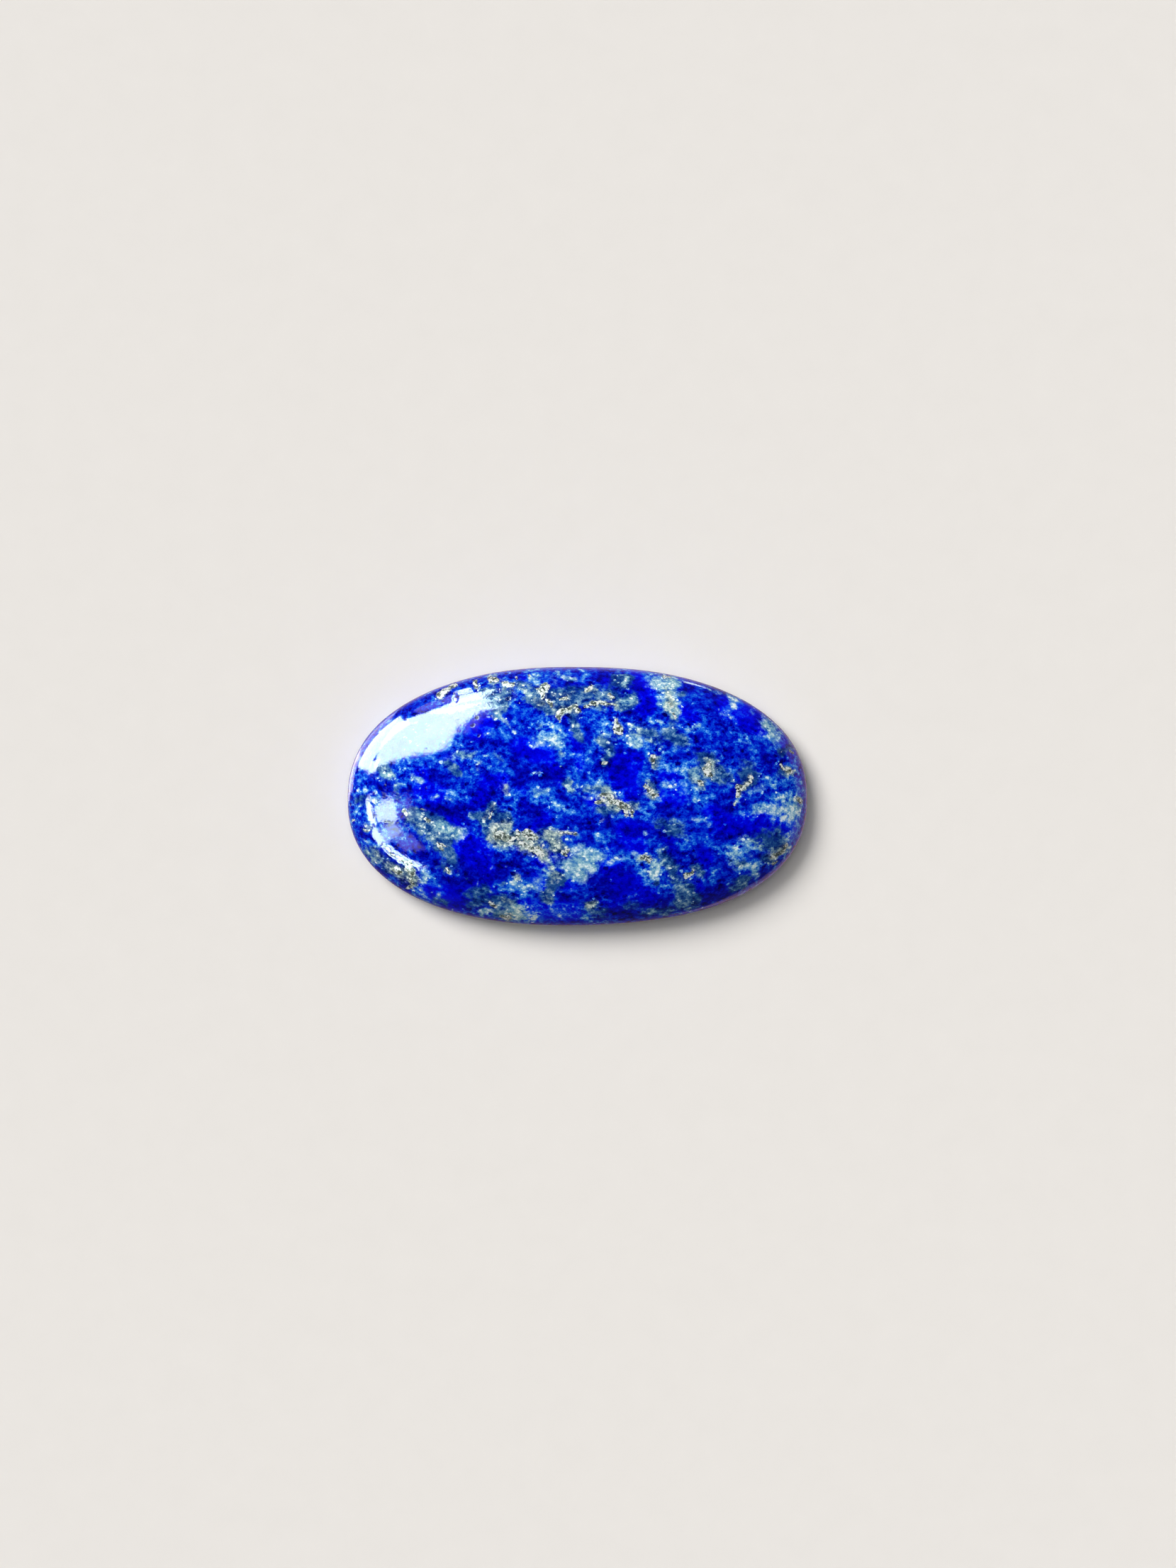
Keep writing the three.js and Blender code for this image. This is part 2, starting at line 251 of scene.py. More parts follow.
CALCITE_MARKS = [
    # upper left
    (0.12, 0.8, -13.5, 0.45), (0.12, 0.9, -13.1, 0.45), (0.09, 0.7, -12.5, 0.35),
    (0.1, 0.8, -11.2, 0.7, -10.8, 0.75), (0.11, 1, -10.2, 1.05), (0.16, 0.8, -9.7, 1.1, -9.8, 0.85),
    (0.1, 0.7, -11.75, 1.3), (0.09, 0.9, -11.4, 1.25), (0.16, 0.35, -8.8, 2.3, -8.4, 2.05),
    (0.25, 0.4, -7.4, 2.7, -6.4, 2.6), (0.08, 0.7, -5.75, 2.5, -5.5, 2.45), (0.07, 0.9, -5.3, 1.9),
    (0.12, 0.6, -4.9, 5, -4.4, 4.6, -3.8, 4.1), (0.13, 0.7, -4, 4.05, -3.75, 3.95),
    (0.15, 0.6, -5.7, 3.8, -5.2, 3.9), (0.12, 0.8, -3.15, 6.4, -2.95, 6.25), (0.08, 0.8, -4.45, 6.4),
    (0.1, 0.7, -4.3, 6, -4.1, 5.85), (0.2, 0.6, -5.3, 6.2, -5.1, 6), (0.14, 0.6, -2.9, 7.35, -2.4, 7.5),
    (0.18, 0.6, -1.1, 7.6, -0.6, 7.5), (0.1, 0.8, -0.35, 7.35, -0.2, 7.3),
    (0.1, 0.8, -1.65, 4.45, -1.6, 4.3), (0.2, 0.5, -2.1, 4.25), (0.28, 0.4, -2.7, 3.2, -2, 3.4),
    (0.3, 0.75, -1.6, 3.6, -1.1, 3.3), (0.2, 0.8, -1.4, 3.1, -1.2, 3.2), (0.07, 0.9, -1, 1.93),
    (0.12, 0.7, -2.65, 1.55, -2.35, 1.5), (0.14, 1, -2.45, 0.12), (0.08, 0.8, -0.65, 1.1, -0.55, 1.05),
    (0.25, 0.6, -11.9, 1.2, -11.4, 1.1), (0.2, 0.6, -10.1, 1.2, -9.7, 1), (0.35, 0.4, -7.9, 2.1, -7, 2.8),
    (0.3, 0.35, -2.7, 3.5, -1.4, 3.8), (0.3, 0.6, -1.1, 3.9, -0.9, 3.7), (0.12, 0.8, -5, 5.1, -4.3, 4.6),
    (0.3, 0.5, -2.3, 3.4, -1.5, 3.3), (0.15, 0.5, -0.2, 4.4, -0.1, 4), (0.2, 0.6, -12.3, 1.2, -11.8, 1.15),
    (0.3, 0.45, -4.9, 5.7), (0.08, 0.8, -5.2, 6.15), (0.08, 0.8, -4.9, 6.45), (0.08, 0.8, -4.65, 6.1),
    (0.25, 0.5, -2.8, 7.3, -2.2, 7.2), (0.15, 0.7, -0.8, 7.35, -0.2, 7.3), (0.2, 0.5, -4, 6.4),
    (0.2, 0.5, -1.6, 7.4, -1, 6.6), (0.16, 0.8, -2.7, 0.35, -1.7, 0.35), (0.15, 1, -0.6, 0.7, -0.3, 0.4),
    # upper right
    (0.16, 0.6, 0.4, 7.6, 0.4, 7.3), (0.1, 0.9, 3, 7.25), (0.1, 0.7, 1.45, 6.5, 1.5, 6.35),
    (0.08, 1, 1.15, 3.55), (0.1, 0.7, 3.1, 4.5, 3.5, 4.4), (0.09, 1, 3.75, 4.25),
    (0.12, 0.6, 3.1, 3.8, 3.4, 3.75), (0.07, 1, 3.5, 3.05, 3.8, 3.05), (0.08, 0.8, 4.3, 4.15),
    (0.08, 0.9, 4.7, 3.6, 4.65, 3.4), (0.09, 0.9, 4.9, 4.75, 5.2, 4.55), (0.07, 0.8, 4.5, 4.6, 4.65, 4.5),
    (0.1, 0.7, 5.85, 4.35, 5.9, 4.15), (0.25, 0.7, 4.8, 7.3, 5.1, 6.95), (0.3, 0.85, 5.4, 7.1, 6.1, 7.1),
    (0.3, 0.9, 5.4, 6.8, 5.8, 6.5), (0.28, 0.85, 5.75, 6.3, 5.9, 5.8), (0.18, 0.85, 5.9, 5.5, 6.05, 5.2),
    (0.12, 1, 6.1, 4.95), (0.1, 0.8, 4.9, 5.75, 5.25, 5.65), (0.13, 0.7, 6.75, 4.1, 7.6, 4.35),
    (0.1, 0.7, 6.3, 1.75, 6.6, 1.5), (0.08, 0.8, 6.75, 1.5, 6.9, 1.45), (0.08, 0.8, 6.65, 1.2),
    (0.2, 0.5, 5.3, 0.75, 6.1, 0.7), (0.15, 0.7, 1.2, 1.05, 1.7, 0.8), (0.12, 0.6, 1, 0.65, 0.4, 0.5),
    (0.07, 0.9, 0.75, 0.25), (0.07, 0.8, 5.15, 3.1, 5.3, 3.05), (0.2, 0.75, 9.4, 6.2, 9.8, 5.9),
    (0.2, 0.85, 9.6, 5.9, 9.7, 5.5), (0.15, 0.7, 9.1, 5.2, 9.5, 5.05), (0.09, 1, 9.55, 4.93),
    (0.07, 0.8, 9.85, 4.8), (0.08, 0.7, 8.85, 5.4), (0.1, 0.6, 10.75, 5.3, 10.9, 5.15),
    (0.3, 0.7, 11.8, 4.6, 12.3, 4.1), (0.28, 0.6, 12.1, 4, 12.3, 3.6), (0.2, 0.5, 11.3, 3.9, 11.8, 3.7),
    (0.12, 0.55, 10.3, 3.8, 10.5, 3.6), (0.1, 0.5, 10.2, 3.4, 10.7, 3.3), (0.17, 0.6, 7.3, 1.6, 7.5, 1.1),
    (0.12, 0.7, 7.3, 0.55, 7.6, 0.45), (0.08, 0.6, 9.3, 0.8, 9.45, 0.7), (0.1, 0.7, 11.5, 1.2, 11.9, 1.15),
    (0.12, 0.7, 11.95, 0.9, 12.3, 0.5), (0.08, 0.6, 7.8, 6.75, 8.3, 6.6), (0.08, 0.6, 8.6, 6.45, 9, 6.4),
    (0.3, 0.6, 3.2, 3.6, 3.7, 3.4), (0.3, 0.6, 2.9, 6, 3.3, 6.1), (0.3, 0.6, 5.3, 5.6, 5.9, 5.4),
    (0.25, 0.5, 7, 1.7, 7.9, 1), (0.2, 0.6, 3.3, 3.8, 3.5, 3.9), (0.25, 0.5, 1.5, 3.8, 1.9, 4),
    (0.11, 0.9, 1.85, 2.9, 2, 2.55, 2.15, 2.55), (0.11, 0.9, 1.5, 2.35, 1.55, 2.2),
    (0.25, 0.6, 3.3, 3.4, 3.8, 3.3), (0.3, 0.6, 6, 5.6, 6.1, 5.3), (0.25, 0.6, 10.8, 0.2, 11.5, 0.7),
    (0.2, 0.5, 1.3, 3.2), (0.35, 0.6, 5, 7, 5.3, 6.1), (0.08, 1, 6.1, 3.3), (0.07, 1, 6.1, 2.85),
    (0.4, 0.5, 5.9, 5.9), (0.4, 0.45, 11.6, 4.8, 12.4, 3.4), (0.2, 0.6, 5.8, 5.3, 5.95, 5),
    (0.2, 0.5, 8.3, 2.1, 8.6, 1.7), (0.22, 0.6, 2.7, 5.6, 3.2, 5.9, 3.6, 6.1),
    (0.14, 0.9, 3.05, 7.25, 2.9, 6.95), (0.15, 1, 3.3, 3.75, 3.6, 3.5, 3.95, 3.2),
    (0.3, 0.5, 1.6, 0.1, 2.3, 0.15), (0.15, 0.8, 5.4, 7.3, 5.8, 6.9), (0.2, 0.9, 3.5, 3.6, 3.9, 3.3),
    (0.25, 0.5, 4.3, 7.3, 4.6, 6.9), (0.4, 0.25, 5.8, 0.5, 7.2, -0.1),
    # lower left
    (0.12, 0.6, -6.8, -1.15, -6.6, -1.2), (0.25, 0.7, -7.3, -2.2, -7, -2.3),
    (0.2, 0.5, -5.4, -2.9, -4.7, -3.1, -3.9, -3.25), (0.15, 0.6, -1.4, -0.45, -0.9, -0.7),
    (0.12, 0.5, -1.7, 0, -1.5, -0.3), (0.1, 0.5, -0.6, -0.75, -0.2, -0.9), (0.08, 0.6, -1.3, -1.2),
    (0.14, 0.6, -2, -4.6, -1.8, -4.8), (0.15, 0.5, -0.8, -2.6, -0.4, -2.7), (0.07, 0.9, -4.42, -4.4),
    (0.08, 0.6, -5.2, -4.3, -5.3, -4.5), (0.08, 0.6, -6.85, -5.05), (0.06, 0.6, -6.15, -5.25, -6.2, -5.5),
    (0.07, 0.5, -5.75, -3.1), (0.1, 0.5, -5.4, -3.6), (0.12, 0.6, -4.8, -5.7, -4.1, -5.75),
    (0.2, 0.7, -3.3, -5.75, -2.7, -5.6), (0.1, 0.9, -2.9, -5.55), (0.1, 0.6, -2.4, -5.9),
    (0.06, 1, -5, -6.8), (0.15, 0.8, -3.9, -6.9, -3.4, -6.9), (0.2, 0.7, -4.6, -7.4, -4.1, -7.4),
    (0.15, 0.7, -3.6, -7.5, -3.2, -7.5), (0.1, 0.6, -1.2, -7.3, -0.9, -7.45),
    (0.07, 0.3, -1.5, -6.9, -0.3, -6.8), (0.08, 0.9, -0.3, -5.7), (0.3, 0.45, -10.1, -1.2, -9.6, -1.2),
    (0.3, 0.5, -8.6, -1.9, -7.9, -2.2), (0.2, 0.55, -9.5, -2.1, -9, -2.4),
    (0.15, 0.7, -9.5, -4.9, -9.4, -5.2), (0.12, 0.5, -9.6, -5.8, -9.4, -6.2),
    (0.1, 0.6, -8.8, -5.3, -8.55, -5.6), (0.1, 0.5, -8.5, -6, -8.6, -6.4), (0.08, 1, -8.97, -5.95),
    (0.1, 0.6, -13.4, -0.6), (0.12, 0.6, -13.2, -2.7, -12.9, -2.85), (0.2, 0.5, -13, -3.6, -12.6, -3.8),
    (0.08, 0.7, -12.3, -4.1, -12.1, -4), (0.15, 0.5, -11.8, -4.2, -11.5, -4.4),
    (0.3, 0.9, -0.7, -4.3, -0.4, -4.7), (0.3, 0.5, -8.2, -2.1, -7.2, -2.3),
    (0.25, 0.6, -7.3, -2.5, -6.9, -2.2), (0.25, 0.6, -9.5, -4.8, -9.5, -5.1),
    (0.2, 0.5, -4.8, -2.9, -4.3, -3.3), (0.3, 0.6, -3.8, -7.1, -3.5, -7.4),
    (0.2, 0.6, -2.4, -5, -2.7, -5.4), (0.2, 0.6, -1.2, -4.2), (0.25, 0.5, -2.6, -5.6), (0.3, 0.5, -3.9, -7),
    (0.35, 0.4, -8.6, -1.7, -7.2, -2.2), (0.14, 0.8, -5.8, -1.6, -5.6, -1.8),
    (0.08, 0.9, -1.8, -1.98, -1.1, -2), (0.12, 0.9, -13.7, -0.95), (0.15, 0.7, -8.9, -0.1, -8.6, 0),
    (0.14, 0.6, -8.1, -0.05, -7.6, -0.15), (0.25, 0.5, -9.5, -5), (0.06, 1, -7.9, -4.35),
    (0.06, 1, -7.95, -4.65), (0.06, 0.8, -5.8, -4.85), (0.08, 0.6, -5.8, -5.7, -5.5, -6),
    (0.06, 1, -5.95, -7.25, -5.65, -7, -5.4, -7.15), (0.07, 0.9, -7.7, -6.95), (0.07, 0.9, -7, -7.05),
    (0.25, 0.35, -3.4, -5.8, -2, -5), (0.15, 0.7, -2, -4.6), (0.08, 1, -2.95, -7.75, -2.4, -7.3),
    (0.2, 0.4, -8.2, -3), (0.25, 0.4, -6, -7, -5, -7.2), (0.08, 0.9, -8.6, -2.9, -8.3, -3),
    (0.2, 0.6, -4.4, -7.4, -3, -7.3), (0.2, 0.5, -12.9, -1.6), (0.2, 0.5, -1.3, -3.7, -1, -3.9),
    (0.19, 1, -3.85, -5.25, -3.65, -5.5), (0.18, 1, -3.8, -7.2, -3.4, -7),
    (0.13, 1, -1.95, -3.75, -1.6, -4, -1.5, -4.4), (0.12, 1, -6, -7.3, -5.8, -7.05, -5.6, -7.15),
    (0.15, 0.8, -4.5, -7.4, -4, -7.1),
    # lower right
    (0.22, 0.75, 11, -0.7, 11.5, -0.7), (0.25, 0.7, 11.6, -0.8, 12.3, -0.85),
    (0.28, 0.85, 12.7, -0.8, 13.3, -0.9), (0.25, 0.6, 12.5, -0.2, 13.1, -0.4),
    (0.15, 0.8, 13, -1.25, 13.3, -1.45), (0.12, 0.3, 10.1, -0.9, 10.4, -1.15),
    (0.12, 0.3, 7.3, -0.3, 7.8, -0.4), (0.12, 0.5, 7.1, -1.4, 7.6, -1.45),
    (0.14, 0.55, 7.9, -1.45, 8.2, -1.7), (0.3, 0.45, 10, -2.8, 10.4, -3.1),
    (0.25, 0.5, 10.3, -2.6, 11.2, -3), (0.12, 0.6, 11.2, -3.2, 11.45, -3.35),
    (0.25, 0.5, 9.3, -3.2, 9.5, -3.8), (0.1, 0.95, 9.65, -3.15, 9.8, -3.45), (0.08, 1, 9.75, -3.88),
    (0.22, 0.65, 10.7, -4.2, 11.1, -4.25), (0.12, 0.8, 9.8, -4.45, 10.5, -4.3),
    (0.2, 0.75, 10.8, -4.6, 11.1, -4.8), (0.1, 0.6, 8.4, -4.65, 8.8, -4.6), (0.07, 0.7, 8.7, -3.6),
    (0.08, 0.6, 8.27, -3.57), (0.08, 0.7, 7.85, -2.8), (0.07, 0.8, 8, -2.4),
    (0.07, 0.4, 7.7, -5.2, 8.3, -5.15), (0.12, 0.6, 13.15, -2.2, 12.85, -2.7),
    (0.1, 0.5, 9.5, -5.6, 9.8, -5.8), (0.38, 0.95, 0.1, -3.3, 0.7, -3.6), (0.3, 0.8, 1, -3.6, 1.5, -3.75),
    (0.45, 1, -0.3, -4.3, 0.3, -4.2), (0.3, 0.85, 0.5, -4.1, 1, -4.45), (0.35, 0.95, -0.1, -4.8, 0.3, -5.1),
    (0.2, 0.6, 2.2, -3.8, 2.5, -3.8), (0.18, 0.5, 2.9, -3.7, 3.2, -4), (0.1, 0.75, 1.65, -3.25, 1.85, -3.2),
    (0.1, 0.6, 0.1, -2.85, 0.35, -2.95), (0.1, 0.65, 1.35, -2.35), (0.12, 0.6, 1.3, -2.7, 1.7, -2.7),
    (0.1, 0.9, 4.2, -2.2, 4.25, -2.35), (0.08, 0.8, 4.7, -1.3, 4.8, -1.45),
    (0.17, 0.9, 4.75, -4.1, 4.7, -4.5), (0.15, 0.9, 5.1, -4.2, 4.9, -4.7), (0.2, 0.8, 4.6, -4.9, 4.9, -5.1),
    (0.12, 0.7, 4.3, -4.7, 4.5, -4.9), (0.2, 0.5, 5.4, -4, 5.6, -4.3), (0.09, 0.7, 6.1, -1.5, 6.5, -1.6),
    (0.06, 0.8, 5.75, -1.7), (0.05, 0.6, 5.3, -2.2, 6, -2.15), (0.1, 0.7, 6.6, -2.75, 6.9, -2.75),
    (0.07, 1, 5.1, -3.4), (0.05, 0.7, 5.3, -3.3, 5.5, -3.15), (0.17, 0.4, 6, -4.4, 6.1, -4.6),
    (0.05, 0.9, 6, -5.4, 6.2, -5.45), (0.06, 0.8, 6.4, -5.2, 6.4, -5.4),
    (0.06, 0.7, 5.1, -5.75, 5.4, -5.6, 5.8, -5.5), (0.07, 0.6, 6.7, -5.85, 6.95, -6),
    (0.09, 0.7, 0.5, -7.4, 0.75, -7.55), (0.07, 0.6, 3.6, -6.15), (0.12, 0.5, 4.2, -7.15, 4.9, -7.2),
    (0.25, 0.8, 0.2, -3.9, 0.8, -4), (0.3, 0.35, 10.2, -4.5, 11, -4.6), (0.25, 0.6, 4.8, -4.2, 4.7, -4.8),
    (0.3, 0.5, 9.5, -3.6, 9.6, -4), (0.15, 0.6, 0.5, -0.1, 0.9, -0.1), (0.25, 0.5, 12.3, -0.9, 13.7, -0.8),
    (0.25, 0.7, 13.6, -0.8), (0.2, 0.5, 3.9, -3.7, 4.2, -4.1), (0.25, 0.6, 10.9, -0.9, 12.3, -0.9),
    (0.3, 0.6, 13, -0.2, 13.5, -0.6), (0.25, 0.45, 12.7, -1.4, 13.3, -1.3), (0.1, 0.9, 6.75, -4.87),
    (0.25, 0.5, 2.35, -3.85), (0.07, 0.9, 2.2, -1.25), (0.12, 0.45, 3.3, -0.5, 4, -0.5),
    (0.12, 0.9, 1.3, -0.4), (0.12, 0.9, 2.7, -0.6), (0.1, 0.9, 3, -1.05), (0.07, 1, 0.65, -6.9),
    (0.1, 0.9, 1, -6.75, 1.2, -6.65), (0.07, 1, 1.3, -6.5), (0.06, 0.8, 2, -5.2), (0.06, 0.8, 3.1, -6.95),
    (0.06, 0.6, 5.7, -4.9, 6.3, -5.1), (0.05, 0.8, 6.1, -5.8), (0.05, 0.8, 6.3, -6.3),
    (0.06, 0.6, 6.4, -5.5, 6.9, -6), (0.06, 0.8, 5.2, -6.45), (0.06, 0.8, 6, -6.5), (0.05, 0.9, 7.1, -7.1),
    (0.05, 0.9, 7.8, -6.85), (0.1, 0.9, 4.1, -3.65, 4.4, -3.8), (0.08, 0.9, 6.75, -4.8, 7, -4.7),
    (0.2, 0.6, 3.5, -3.5, 3.9, -3.9), (0.2, 0.6, 4.9, -4.3, 5.2, -4.6), (0.2, 0.5, 10.6, -3.2, 10.8, -3.6),
    (0.16, 1, 3.6, -3.65, 3.85, -3.9), (0.11, 0.95, 10.1, -0.05, 9.75, -0.4),
    (0.18, 0.7, 12.7, -3.6, 13.1, -3.2), (0.25, 0.4, 12.4, -0.3, 13.3, -0.9),
    (0.22, 0.5, -0.1, -4, 0.2, -4.5), (0.25, 0.4, 4.8, -0.1, 5.3, -0.1),
]

